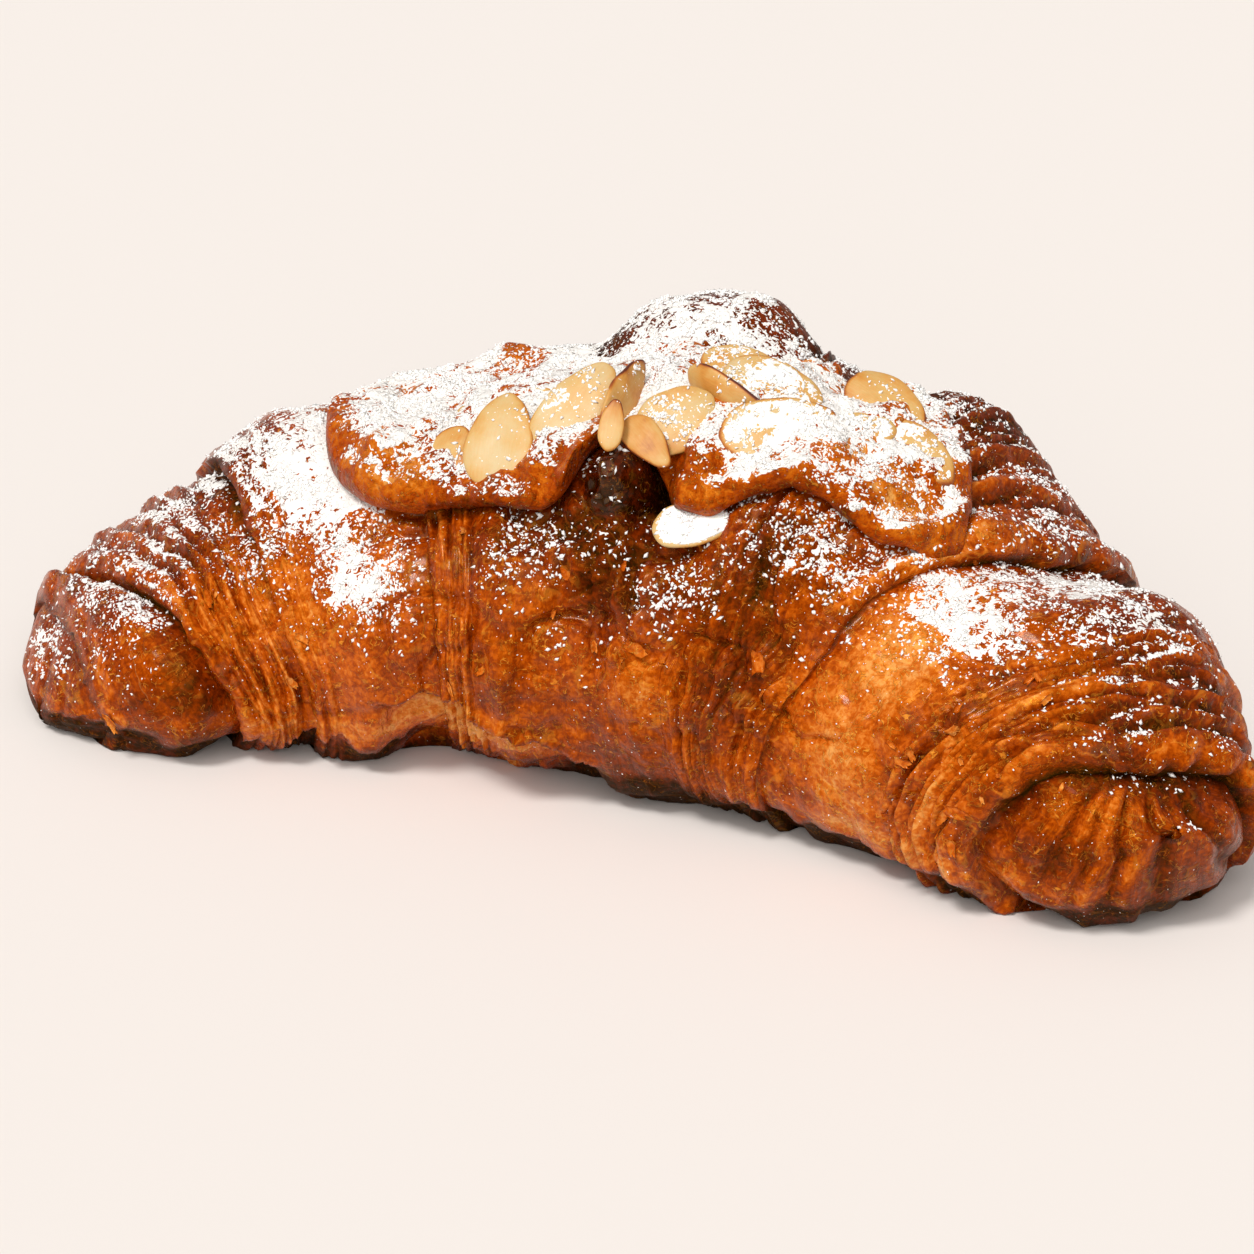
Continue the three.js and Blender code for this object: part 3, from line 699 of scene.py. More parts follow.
def fine_relief(half, along, turn, grid, reach):
    """Small relief that the solid leaves out, such as thin layers, and what the finish needs of it, also to
    paint shade and light.
    """
    arc = turn * DEG * reach
    layer, band = grid["layer"], grid["band"]
    bare = 1 - 0.8 * under_cream(along, turn)
    coarse = 1.35 if half["side"] > 0 else 0.75
    thin = plates(layer, arc, 1.5, 16, 3.3)
    thick = plates(layer, arc, 3.4, 24, 7.9)
    faint = plates(layer, arc, 2.3, 7, 5.1)
    calm = 1 - 0.75 * grid["lip"] ** 0.4
    calm = calm * (1 - 0.45 * smooth(50, 85, turn) * (along < 0))
    layers = coarse * band * calm * (0.8 * thin + 1.5 * thick) + (1 - band) * 0.1 * faint
    puffs = np.abs(noise(along / 11 + 4, arc / 9, 2.6, 2))
    middle = bell((along - 8) / 30) ** 0.5 * smooth(-10, 12, turn) * (1 - smooth(44, 60, turn))
    puffs = (0.35 + 1.3 * middle) * (smooth(0, 0.42, puffs) - 0.6)
    blisters = 0.3 * noise(along / 8, arc / 8, 1.7, 2) + 0.14 * noise(along / 2.4, arc / 2.4, 5.5, 2)
    wrinkled = 1.3 * bell((along - 8) / 9) * bell((turn - 29) / 8)
    wrinkled = wrinkled + 0.6 * bell((along - 44) / 10) * bell((turn - 45) / 10)
    low = bell((along + 18) / 16) * smooth(-8, -14, turn)
    folds = np.clip(1 - np.abs(noise(along / 5, arc / 3.2, 9.4, 2)) * 2.2, -0.6, 1)
    upright = bell((along + 29) / 6) * smooth(-25, 0, turn) * (1 - smooth(38, 46, turn))
    upright = upright + 0.9 * bell((along - 43) / 6) * smooth(-20, 0, turn) * (1 - smooth(20, 30, turn))
    grooves = 0.2 * upright * plates(layer, arc, 1.5, 12, 4.4)
    jag = 1.6 * noise(along / 3.3, 0.4, 1.1, 2)
    window = smooth(-44, -38, along) * (1 - smooth(2, 8, along))
    below = turn - LEDGE_LINE(along) - jag
    ledge = window * smooth(0.4, -1.0, below)
    shade = window * bell((below + 1.4) / 1.2)
    lip = 0.8 * window * bell((below - 1.2) / 1.2)
    far = ellipse(NOSE, along, turn, reach)
    swirl = np.arctan2(turn - NOSE[1], (along - NOSE[0]) * 2)
    nose = 1.6 * np.clip(1 - far * far, 0, 1) - 1.5 * bell((far - 1.14) / 0.1)
    nose = nose + 0.8 * np.sin(9 * far + 1.5 * np.sin(swirl + 0.8)) * smooth(1.05, 0.85, far)
    pit = -3.5 * smooth(1.15, 0.5, ellipse(HOLLOW, along, turn, reach))
    bumps = spots(BUMPS, along, turn, reach)
    undercut = -1.3 * grid["foot"] ** 2 * smooth(5, 50, turn)
    small = layers + grooves + undercut
    wrinkles = (0.9 * wrinkled + 0.55 * low) * folds
    out = bare * (small + puffs + blisters + bumps + wrinkles + lip - 2.2 * ledge) + nose + pit
    seen = {"small": small, "folds": wrinkles, "puffs": puffs, "ledge": ledge}
    seen = {key: bare * value for key, value in seen.items()}
    return out, dict(seen, shade=shade)


def crust_arrays():
    """Points, faces and surface facts of the whole crust."""
    turns = fine_turns()
    columns, tips = [], []
    for half in (LEFT, RIGHT):
        grid = half_grid(half, turns)
        along = half["side"] * grid["distance"]
        turn = np.broadcast_to(turns, along.shape)
        reach = np.maximum(half["width"](np.abs(along)), 14)
        small, seen = fine_relief(half, along, turn, grid, reach)
        out = grid["out"] + small * grid["round"]
        skirt = 0.8 * noise(along / 3.1, turn / 90, 2.2, 3) - 2.2 * bell((along + 20) / 13)
        points, under = surface_point(half, grid["distance"], turn, out, grid["round"], skirt)
        facts = dict(grid, along=along, turn=turn, reach=reach, under=under, points=points, **seen)
        facts["arc"] = turn * DEG * reach
        end, spread, up, facts["push"] = end_folds(half, along, turn, grid)
        if half["side"] > 0:
            facts["layer"] = facts["layer"] * (1 - end) + (80 + spread) * end
            facts["arc"] = facts["arc"] * (1 - end) + up * end
            facts["streak"] = np.maximum(grid["band"], 0.85 * end)
        else:
            facts["streak"] = grid["band"]
        facts["nose"] = smooth(1.1, 0.95, ellipse(NOSE, along, turn, reach))
        tips.append(surface_point(half, half["length"] + 0.0, 0.0, 0.0, 0.0)[0])
        columns.append(facts)
    left, right = columns
    merged = {key: np.concatenate([left[key][::-1], right[key][1:]]) for key in left}
    count, rows = merged["along"].shape
    points = merged.pop("points").reshape(-1, 3)
    points[:, 2] = np.maximum(points[:, 2], 0)
    faces = facing_out(points, grid_faces(count, rows))
    points = points + vertex_normals(points, faces) * merged["push"].reshape(-1, 1)
    points[:, 2] = np.maximum(points[:, 2], 0)
    ends = []
    for tip, column in zip(tips, (0, count - 1)):
        centre = len(points)
        points = np.vstack([points, tip])
        for r in range(rows):
            one, two = column * rows + r, column * rows + (r + 1) % rows
            ends.append([centre, one, two] if column else [centre, two, one])
        for key, value in merged.items():
            merged[key] = np.append(value, value[column].mean() if value.ndim == 2 else value[column * rows])
    return points, faces, ends, merged


def crust_paint(points, normals, facts):
    """Browning, painted shade and light that follow the relief, and sugar at every point of the crust."""
    along, turn, reach = facts["along"], facts["turn"], facts["reach"]
    arc = turn * DEG * reach
    toast = 0.44 + spots(BROWNINGS, along, turn, reach)
    toast = toast + 0.08 * smooth(45, 100, turn) + 0.08 * smooth(140, 200, turn)
    toast = toast + 0.07 * noise(along / 16, arc / 16, 6.6, 2)
    toast = toast + 0.07 * noise(facts["layer"] * 0.5, arc / 26, 2.9, 2) * (0.3 + 0.7 * facts["band"])
    # Valleys between ridges and the foot of each step are painted darker as painted shade, ridge crests
    # paler as painted light.
    toast = toast - 0.09 * facts["crest"] + (0.1 + 0.26 * smooth(5, 50, turn)) * facts["foot"]
    # The lip of each step is painted paler: a painted highlight on its edge.
    toast = toast - 0.06 * facts["lip"]
    # Raised layers, wrinkles and puffs are painted paler and their hollows darker: painted light and shade
    # on the relief.
    toast = toast - 0.26 * facts["small"] - 0.14 * facts["folds"] - 0.05 * facts["puffs"]
    # Below the torn ledge the crust is painted paler: painted light on a face that little light reaches.
    # The gathered end's folds are painted paler where they rise and darker in their grooves: painted light
    # and shade.
    toast = toast - 0.28 * facts["ledge"] + 0.5 * facts["shade"] - 0.24 * facts["push"]
    burnt = 0.34 + 0.35 * noise(along / 11, 4.4, 1.0, 2) + 0.2 * bell((along - 12) / 14)
    burnt = burnt - 0.25 * bell((along + 22) / 9) - 0.2 * smooth(-66, -80, along)
    toast = toast + burnt * facts["under"] * smooth(8, 4, points[:, 2])
    toast = toast - 0.16 * bell((points[:, 2] - 7.6) / 1.3) * smooth(60, 0, turn)
    toast = toast + 0.25 * smooth(0.0, -0.9, normals[:, 2]) * smooth(8, 2, points[:, 2])
    nose = facts["nose"]
    pit = smooth(1.2, 0.8, ellipse(HOLLOW, along, turn, reach))
    toast = np.maximum(toast, 0.97 * nose)
    # The hollow beside the nose is painted darkest: painted shade in the hollow.
    toast = np.maximum(toast, 1.1 * pit)
    slope = smooth(0.15, 0.95, normals[:, 2])
    sugar = 0.62 * slope * smooth(30, 78, turn) * (1 - 0.35 * smooth(125, 165, turn))
    sugar = sugar + spots(SUGARINGS, along, turn, reach) * smooth(-0.25, 0.35, normals[:, 2])
    sugar = sugar + 0.22 * slope * noise(along / 9, arc / 9, 7.7, 2) - 0.4 * facts["foot"]
    sugar = sugar - 0.12 * np.maximum(0, -facts["small"]) / 0.5
    sugar = sugar * (1 - nose) * (1 - pit) + 0.35 * nose * slope
    sugar = sugar * (1 - 0.7 * smooth(0, 3, along - RIGHT["seams"][-1]["curve"](turn)))
    return np.clip(toast, 0, 1), np.clip(sugar, 0, 1.1)


# Materials.


def linear(red, green, blue, light=1.0):
    """A colour as it shows (0 to 255) as the linear colour of a surface lit by that much light."""
    values = []
    for channel in (red, green, blue):
        c = channel / 255
        c = c / 12.92 if c <= 0.04045 else ((c + 0.055) / 1.055) ** 2.4
        values.append(min(c / light, 0.95))
    return (*values, 1.0)


def bakes(light, *stops):
    """Stops for a colour ramp from (place, red, green, blue) as they show under that much light."""
    return [(place, linear(*shown, light)) for place, *shown in stops]


class Graph:
    """Adds nodes to one node tree and links them."""

    def __init__(self, tree):
        self.tree = tree

    def node(self, kind, inputs=None, **settings):
        """A new node with those settings, and with values or links on those inputs."""
        made = self.tree.nodes.new(kind)
        for key, value in settings.items():
            setattr(made, key, value)
        for key, value in (inputs or {}).items():
            self.feed(made.inputs[key], value)
        return made

    def feed(self, socket, value):
        """Links an output to the socket, or sets its value."""
        if isinstance(value, bpy.types.NodeSocket):
            self.tree.links.new(value, socket)
        else:
            socket.default_value = value

    def math(self, operation, one, two=0.0):
        return self.node("ShaderNodeMath", {0: one, 1: two}, operation=operation).outputs[0]

    def add(self, first, *others):
        """The sum of two or more values."""
        for other in others:
            first = self.math("ADD", first, other)
        return first

    def times(self, one, two):
        return self.math("MULTIPLY", one, two)

    def minus(self, one, two):
        return self.math("SUBTRACT", one, two)

    def centred(self, value, spread, low=0.3, high=0.7):
        """A noise's value as something to add: from -spread to spread."""
        return self.rise(value, low, high, -spread, spread)

    def group(self, tree, **inputs):
        return self.node("ShaderNodeGroup", inputs, node_tree=tree)

    def rise(self, value, low, high, start=0.0, end=1.0):
        """start below low and end above high, with a soft rise between."""
        inputs = {"Value": value, "From Min": low, "From Max": high, "To Min": start, "To Max": end}
        made = self.node("ShaderNodeMapRange", inputs, interpolation_type="SMOOTHSTEP", clamp=True)
        return made.outputs["Result"]

    def mix(self, factor, one, two):
        """A colour between two others."""
        return self.node("ShaderNodeMix", {0: factor, 6: one, 7: two}, data_type="RGBA").outputs[2]

    def ramp(self, value, stops):
        """The colour at a value between stops of (place, colour)."""
        made = self.node("ShaderNodeValToRGB", {"Fac": value})
        band = made.color_ramp
        band.elements[0].position, band.elements[0].color = stops[0]
        band.elements[1].position, band.elements[1].color = stops[-1]
        for place, colour in stops[1:-1]:
            band.elements.new(place).color = colour
        return made.outputs["Color"]

    def attribute(self, name):
        """A number that the mesh holds for each of its points."""
        return self.node("ShaderNodeAttribute", attribute_name=name).outputs["Fac"]

    def noise(self, vector, scale, detail=2.0, roughness=0.5, distortion=0.0):
        inputs = {"Vector": vector, "Scale": scale, "Detail": detail, "Roughness": roughness}
        inputs["Distortion"] = distortion
        return self.node("ShaderNodeTexNoise", inputs).outputs["Fac"]

    def place(self):
        """Coordinates in metres, fixed to the croissant."""
        return self.node("ShaderNodeTexCoord").outputs["Object"]

    def stretched(self, one, two, scale_one, scale_two):
        """Coordinates from two attributes, each with its own scale."""
        inputs = {"X": self.times(one, scale_one), "Y": self.times(two, scale_two)}
        return self.node("ShaderNodeCombineXYZ", inputs).outputs[0]


def new_group(name, inputs, outputs):
    """An empty shader node group with named sockets; returns it, its input node and its output node."""
    group = bpy.data.node_groups.new(name, "ShaderNodeTree")
    for key, value in inputs.items():
        socket = group.interface.new_socket(name=key, in_out="INPUT", socket_type="NodeSocketFloat")
        socket.default_value = value
    for key in outputs:
        group.interface.new_socket(name=key, in_out="OUTPUT", socket_type="NodeSocketFloat")
    graph = Graph(group)
    return graph, graph.node("NodeGroupInput"), graph.node("NodeGroupOutput")


def sugar_group():
    """Fine white powder in clusters: density in, mask and height out."""
    known = bpy.data.node_groups.get("Powdered sugar")
    if known:
        return known
    graph, given, result = new_group("Powdered sugar", {"Density": 0.5}, ("Mask", "Height"))
    place = graph.place()
    grains = graph.noise(place, 980.0, 1.0, 0.5, 1.3)
    clusters = graph.noise(place, 400.0, 1.0, 0.5, 0.8)
    patches = graph.noise(place, 130.0, 2.0, 0.5)
    total = graph.add(graph.times(grains, 0.38), graph.times(clusters, 0.36), graph.times(patches, 0.4))
    line = graph.math("MULTIPLY_ADD", given.outputs["Density"], -0.3)
    graph.feed(line.node.inputs[2], 0.82)
    over = graph.minus(total, line)
    dust = graph.noise(place, 2300.0, 1.0, 0.5)
    dust_line = graph.rise(given.outputs["Density"], 0.05, 0.9, 0.76, 0.62)
    specks = graph.rise(graph.minus(dust, dust_line), 0.0, 0.03)
    flecks = graph.rise(over, 0.0, 0.012)
    graph.feed(result.inputs["Mask"], graph.math("MAXIMUM", flecks, specks))
    graph.feed(result.inputs["Height"], graph.rise(over, -0.01, 0.12))
    return graph.tree


def new_material(name):
    """A material with an empty tree but for its shader; returns it, its graph and the shader."""
    made = bpy.data.materials.new(name)
    made.use_nodes = True
    made.node_tree.nodes.clear()
    graph = Graph(made.node_tree)
    shader = graph.node("ShaderNodeBsdfPrincipled")
    graph.node("ShaderNodeOutputMaterial", {"Surface": shader.outputs[0]})
    return made, graph, shader


def bumped(graph, shader, layers):
    """Chains bump nodes from (height, distance in mm, strength) into the shader's normal."""
    normal = None
    for height, distance, strength in layers:
        inputs = {"Height": height, "Distance": distance * MM, "Strength": strength}
        if normal:
            inputs["Normal"] = normal
        normal = graph.node("ShaderNodeBump", inputs).outputs["Normal"]
    graph.feed(shader.inputs["Normal"], normal)


def under_sugar(graph, shader, baked, roughness, sugar_roughness):
    """Lays powdered sugar over a baked colour and its roughness; returns the sugar's mask and height."""
    sugar = graph.group(sugar_group())
    graph.feed(sugar.inputs["Density"], graph.attribute("sugar"))
    mask = sugar.outputs["Mask"]
    graph.feed(shader.inputs["Base Color"], graph.mix(mask, baked, linear(255, 250, 244, SUGAR_LIGHT)))
    rough = graph.node("ShaderNodeMix", {0: mask, 2: roughness, 3: sugar_roughness}).outputs[0]
    graph.feed(shader.inputs["Roughness"], rough)
    return mask, sugar.outputs["Height"]


def flaky_group():
    """Ragged terraces of thin baked skin: scale in, each terrace's height, edge and shade out."""
    known = bpy.data.node_groups.get("Flaky skin")
    if known:
        return known
    graph, given, result = new_group("Flaky skin", {"Scale": 90.0}, ("Height", "Edge", "Shade"))
    place = graph.place()
    waves = graph.noise(place, given.outputs["Scale"], 4.0, 0.52, 0.5)
    count = graph.times(waves, 8.0)
    number = graph.math("FLOOR", count)
    rise = graph.minus(count, number)
    graph.feed(result.inputs["Height"], graph.rise(rise, 0.0, 0.14))
    edge = graph.rise(graph.math("ABSOLUTE", graph.minus(rise, 0.1)), 0.03, 0.1, 1.0, 0.0)
    breaks = graph.rise(graph.noise(place, 300.0, 1.0, 0.5), 0.44, 0.58)
    graph.feed(result.inputs["Edge"], graph.times(edge, breaks))
    random = graph.node("ShaderNodeTexWhiteNoise", {"W": number}, noise_dimensions="1D").outputs["Value"]
    graph.feed(result.inputs["Shade"], graph.minus(random, 0.5))
    return graph.tree


def crackle_group():
    """Fine curled cracks of a baked skin, whose pale lines are partly painted glints: scale in, mask out."""
    known = bpy.data.node_groups.get("Crackled skin")
    if known:
        return known
    graph, given, result = new_group("Crackled skin", {"Scale": 600.0}, ("Mask",))
    place = graph.place()
    waves = graph.noise(place, given.outputs["Scale"], 1.0, 0.5, 0.9)
    off = graph.math("ABSOLUTE", graph.minus(waves, 0.5))
    line = graph.rise(off, 0.004, 0.03, 1.0, 0.0)
    breaks = graph.rise(graph.noise(place, 420.0, 1.0, 0.5), 0.46, 0.58)
    graph.feed(result.inputs["Mask"], graph.times(line, breaks))
    return graph.tree


def crust_material(settings):
    """Egg-washed laminated crust: streaks along the layers, blisters, fine cracks with pale lines that are
    partly painted glints, and sugar.
    """
    made, graph, shader = new_material("Laminated crust")
    place = graph.place()
    toast, layer, arc = graph.attribute("toast"), graph.attribute("layer"), graph.attribute("arc")
    band, bead = graph.attribute("band"), graph.attribute("glaze")
    streaks = graph.noise(graph.stretched(layer, arc, 1.5, 0.14), 1.0, 3.0, 0.6)
    mottle = graph.noise(place, 95.0, 2.0, 0.5)
    pores = graph.noise(place, 1350.0, 2.0, 0.6, 0.4)
    crumb = graph.noise(place, 420.0, 2.0, 0.5)
    cracks = graph.group(crackle_group(), Scale=760.0).outputs["Mask"]
    skin = graph.group(flaky_group(), Scale=80.0)
    shade = graph.add(
        toast,
        graph.times(graph.minus(streaks, 0.5), graph.rise(band, 0.0, 1.0, 0.16, 0.5)),
        graph.centred(mottle, 0.08, 0.25, 0.75),
        graph.centred(crumb, 0.08, 0.25, 0.75),
        graph.centred(pores, 0.12, 0.28, 0.72),
    )
    # Paler along the cracks: partly the skin's own pale cracks, partly painted glints.
    shade = graph.minus(shade, graph.times(cracks, 0.16))
    shade = graph.add(shade, graph.times(skin.outputs["Shade"], 0.08))
    stops = bakes(
        settings.crust_light,
        (0.0, 252, 170, 88),
        (0.12, 238, 134, 48),
        (0.27, 212, 96, 12),
        (0.43, 172, 66, 1),
        (0.58, 138, 46, 1),
        (0.74, 102, 30, 1),
        (0.9, 66, 18, 1),
        (1.0, 36, 8, 0),
    )
    baked = graph.ramp(shade, stops)
    # Cracks and terrace edges are mixed to a pale colour: partly the skin's own paler lines, partly painted
    # glints.
    pale_lines_and_glints = graph.math("MAXIMUM", cracks, graph.times(skin.outputs["Edge"], 0.5))
    pale_lines_and_glints = graph.times(pale_lines_and_glints, graph.rise(toast, 0.3, 0.85, 0.6, 0.16))
    baked = graph.mix(pale_lines_and_glints, baked, linear(250, 164, 52, settings.crust_light))
    rough = graph.add(graph.rise(crumb, 0.3, 0.7, 0.2, 0.34), graph.rise(toast, 0.6, 0.9, 0.0, 0.4))
    rough = graph.minus(rough, graph.times(bead, 0.45))
    sugar, sugar_height = under_sugar(graph, shader, baked, rough, 0.9)
    syrup = graph.times(graph.rise(mottle, 0.4, 0.65, 0.0, 0.2), graph.rise(toast, 0.55, 0.75, 1.0, 0.0))
    glaze = graph.math("MAXIMUM", graph.times(bead, 0.3), syrup)
    graph.feed(shader.inputs["Coat Weight"], graph.times(glaze, graph.minus(1.0, sugar)))
    shader.inputs["Coat Roughness"].default_value = 0.12
    shader.inputs["Coat Tint"].default_value = (1.0, 0.9, 0.75, 1)
    shader.inputs["Specular IOR Level"].default_value = 0.3
    shader.inputs["Specular Tint"].default_value = WARM_SHINE
    heights = [
        (mottle, 1.0, 0.4),
        (streaks, 0.5, 0.4),
        (skin.outputs["Height"], 0.13, 0.7),
        (crumb, 0.4, 0.4),
        (pores, 0.16, 0.5),
        (cracks, 0.16, 0.8),
        (sugar_height, 0.16, 0.7),
    ]
    bumped(graph, shader, heights)
    return made


def cream_material(settings):
    """Baked almond paste: golden crumb, browner at its rim, pale cracks that are partly painted glints,
    under sugar.
    """
    made, graph, shader = new_material("Baked almond cream")
    place = graph.place()
    crumb = graph.noise(place, 420.0, 4.0, 0.6)
    lumps = graph.noise(place, 120.0, 3.0, 0.55)
    grit = graph.noise(place, 1150.0, 2.0, 0.6)
    cracks = graph.group(crackle_group(), Scale=700.0).outputs["Mask"]
    toast = graph.attribute("toast")
    shade = graph.add(toast, graph.centred(crumb, 0.16), graph.centred(lumps, 0.12))
    shade = graph.add(shade, graph.centred(grit, 0.1))
    light = settings.crust_light * CREAM_LIGHT
    stops = bakes(
        light,
        (0.0, 250, 180, 96),
        (0.25, 226, 116, 20),
        (0.5, 190, 72, 1),
        (0.75, 146, 48, 1),
        (1.0, 86, 26, 1),
    )
    baked = graph.ramp(shade, stops)
    # Pale lines along the cracks: partly the paste's own cracks, partly painted glints.
    baked = graph.mix(graph.times(cracks, 0.4), baked, linear(252, 172, 60, light))
    _, sugar_height = under_sugar(graph, shader, baked, 0.36, 0.85)
    shader.inputs["Specular IOR Level"].default_value = 0.36
    shader.inputs["Specular Tint"].default_value = WARM_SHINE
    heights = [
        (lumps, 1.6, 0.9),
        (crumb, 1.2, 1.0),
        (grit, 0.35, 0.9),
        (cracks, 0.2, 0.8),
        (sugar_height, 0.16, 0.7),
    ]
    bumped(graph, shader, heights)
    return made


def almond_material(settings):
    """Toasted almond flesh with faint grain, a browner rim and thin skin at the edge."""
    made, graph, shader = new_material("Toasted almond")
    along_grain = graph.stretched(graph.attribute("grain"), graph.attribute("arc"), 3.4, 0.5)
    grain = graph.noise(along_grain, 1.0, 3.0, 0.6)
    mottle = graph.noise(graph.place(), 260.0, 3.0, 0.55)
    shade = graph.add(graph.attribute("toast"), graph.centred(grain, 0.04), graph.centred(mottle, 0.12))
    stops = bakes(
        settings.crust_light * ALMOND_LIGHT,
        (0.0, 255, 222, 162),
        (0.3, 254, 202, 120),
        (0.55, 246, 168, 70),
        (0.8, 190, 92, 14),
        (1.0, 112, 42, 5),
    )
    _, sugar_height = under_sugar(graph, shader, graph.ramp(shade, stops), 0.5, 0.85)
    shader.inputs["Subsurface Weight"].default_value = 0.08
    shader.inputs["Subsurface Scale"].default_value = 0.001
    bumped(graph, shader, [(grain, 0.1, 0.3), (mottle, 0.3, 0.3), (sugar_height, 0.16, 0.7)])
    return made


def powder_material():
    """Loose grains and lumps of sugar."""
    made, graph, shader = new_material("Sugar grains")
    soft = graph.noise(graph.place(), 900.0, 2.0, 0.5)
    graph.feed(shader.inputs["Base Color"], graph.mix(soft, linear(252, 244, 236), linear(255, 254, 251)))
    graph.feed(shader.inputs["Roughness"], graph.rise(soft, 0.3, 0.7, 0.6, 0.9))
    bumped(graph, shader, [(soft, 0.1, 0.4)])
    return made


# The cream.


def cream_edge(count):
    """The cream's outline as places along and turns, evenly spaced and smoothed through its corners."""
    evened = [1, 0.75]
    corners = np.array(CREAM_FRONT + CREAM_BACK, float) * evened
    n = len(corners)
    t = np.linspace(0, 1, 24, endpoint=False)[:, None]
    path = []
    for i in range(n):
        p0, p1, p2, p3 = (corners[(i + j - 1) % n] for j in range(4))
        m1, m2 = (p2 - p0) / 2, (p3 - p1) / 2
        path.append(
            (2 * t**3 - 3 * t**2 + 1) * p1 + (t**3 - 2 * t**2 + t) * m1
            + (3 * t**2 - 2 * t**3) * p2 + (t**3 - t**2) * m2
        )
    path = np.vstack(path)
    path = np.vstack([path, path[:1]])
    walked = np.concatenate([[0], np.cumsum(np.linalg.norm(np.diff(path, axis=0), axis=1))])
    at = np.linspace(0, walked[-1], count, endpoint=False)
    edge = np.stack([np.interp(at, walked, path[:, i]) for i in range(2)], 1)
    return edge / evened


def cream_arrays():
    """Points, faces and surface facts of the cream."""
    edge = cream_edge(360)
    stops = np.array(CREAM_LIP)
    walked = np.hypot(np.diff(stops[:, 0]) * 18, np.diff(stops[:, 1]) * CREAM_THICKNESS)
    place = np.concatenate([[0], np.cumsum(walked)])
    at = np.unique(np.concatenate([place, np.linspace(0, place[-1], 54)]))
    share = curve_through(list(zip(place, stops[:, 0])))(at)
    rise = curve_through(list(zip(place, stops[:, 1])))(at)
    home = np.stack([0.8 * edge[:, 0], np.full(len(edge), CREAM_MIDDLE)], 1)
    where = home[None] + (edge - home)[None] * share[:, None, None]
    along, turn = where[..., 0], where[..., 1]
    thick = CREAM_THICKNESS * (1 + 0.1 * unevenness(along, turn, 19, 5, 5, 4))
    thick = thick * (1 + 0.25 * np.exp(-(((along + 38) / 14) ** 2))) * (1 - 0.35 * smooth(75, 100, turn))
    arc = turn * DEG * 36
    lumps = 0.65 * noise(along / 8, arc / 8, 3.3, 2) + 0.34 * noise(along / 2.6, arc / 2.6, 6.1, 2)
    top = smooth(0.1, 0.6, rise[:, None])
    lift = CREAM_SEAT + rise[:, None] * thick + top * lumps
    points = above(along, turn, lift)
    faces = grid_faces(len(at), len(edge))
    facts = {"along": along.ravel(), "turn": turn.ravel(), "arc": arc.ravel()}
    facts.update(rise=np.repeat(rise, len(edge)), share=np.repeat(share, len(edge)))
    return points.reshape(-1, 3), faces, facts


# The almonds.


def flake_arrays(name, seed):
    """Points, faces and facts of one thin curled slice of almond."""
    along, turn, lift, length, width, yaw, pitch, roll, curl = FLAKES[name]
    draw = np.random.default_rng(seed)
    angle = np.linspace(0, 2 * math.pi, FLAKE_CORNERS, endpoint=False)
    wobble = 1 + 0.018 * np.sin(3 * angle + draw.uniform(0, 6))
    wobble = wobble + 0.012 * np.sin(7 * angle + draw.uniform(0, 6))
    shares = np.array(FLAKE_HALF + FLAKE_HALF[-2::-1])
    sides = np.array(FLAKE_SIDES)
    x = shares[:, None] * length / 2 * np.cos(angle) * wobble
    y = shares[:, None] * width / 2 * np.sin(angle) * (1 - 0.24 * np.cos(angle)) * wobble
    bow = curl * (1 - 2 * (2 * x / length) ** 2 - 0.6 * (2 * y / width) ** 2) * 0.5
    wave = 0.16 * noise(x / 4 + seed, y / 4, 0.0, 2)
    thin = 1 - 0.35 * (shares[:, None] ** 4)
    z = bow + wave + sides[:, None] * FLAKE_THICKNESS / 2 * thin
    local = np.stack([x, y, z], -1).reshape(-1, 3)
    turned = directions(along, turn, lift) @ rotation(yaw, pitch, roll)
    points = local @ turned.T + above(along, turn, lift)
    faces = grid_faces(len(shares), FLAKE_CORNERS)
    facts = {"grain": local[:, 1], "arc": local[:, 0], "share": np.repeat(shares, FLAKE_CORNERS)}
    return points, faces, facts


# Scattered grains and chips.


def keep_surface(kind, points, faces, normals, sugar, **facts):
    """Remembers a finished surface for what is scattered on it later."""
    SURFACES.append(dict(facts, kind=kind, points=points, faces=faces, normals=normals, sugar=sugar))


def draw_places(draw, count, weight_of, clumped=False):
    """Random places on the finished surfaces, with their normals."""
    points, normals, weights = [], [], []
    for surface in SURFACES:
        faces = surface["faces"]
        corner = surface["points"][faces]
        area = np.linalg.norm(np.cross(corner[:, 2] - corner[:, 0], corner[:, 3] - corner[:, 1]), axis=1)
        share = draw.dirichlet((1, 1, 1, 1), len(faces))
        place = np.einsum("fc,fcx->fx", share, corner)
        weight = area * weight_of(surface)[faces].mean(1)
        if clumped:
            weight = weight * (0.06 + smooth(0.0, 0.5, noise(*(place.T / 2.8), 2)))
        points.append(place)
        normals.append(surface["normals"][faces].mean(1))
        weights.append(weight)
    points, normals, weights = np.vstack(points), np.vstack(normals), np.concatenate(weights)
    weights = weights * (points[:, 2] > BARE_FOOT)
    picked = draw.choice(len(points), count, replace=True, p=weights / weights.sum())
    normal = normals[picked]
    normal = normal / np.linalg.norm(normal, axis=1, keepdims=True)
    spread = draw.normal(0, 0.2, (count, 3))
    spread = spread - normal * np.einsum("ij,ij->i", spread, normal)[:, None]
    return points[picked] + spread, normal


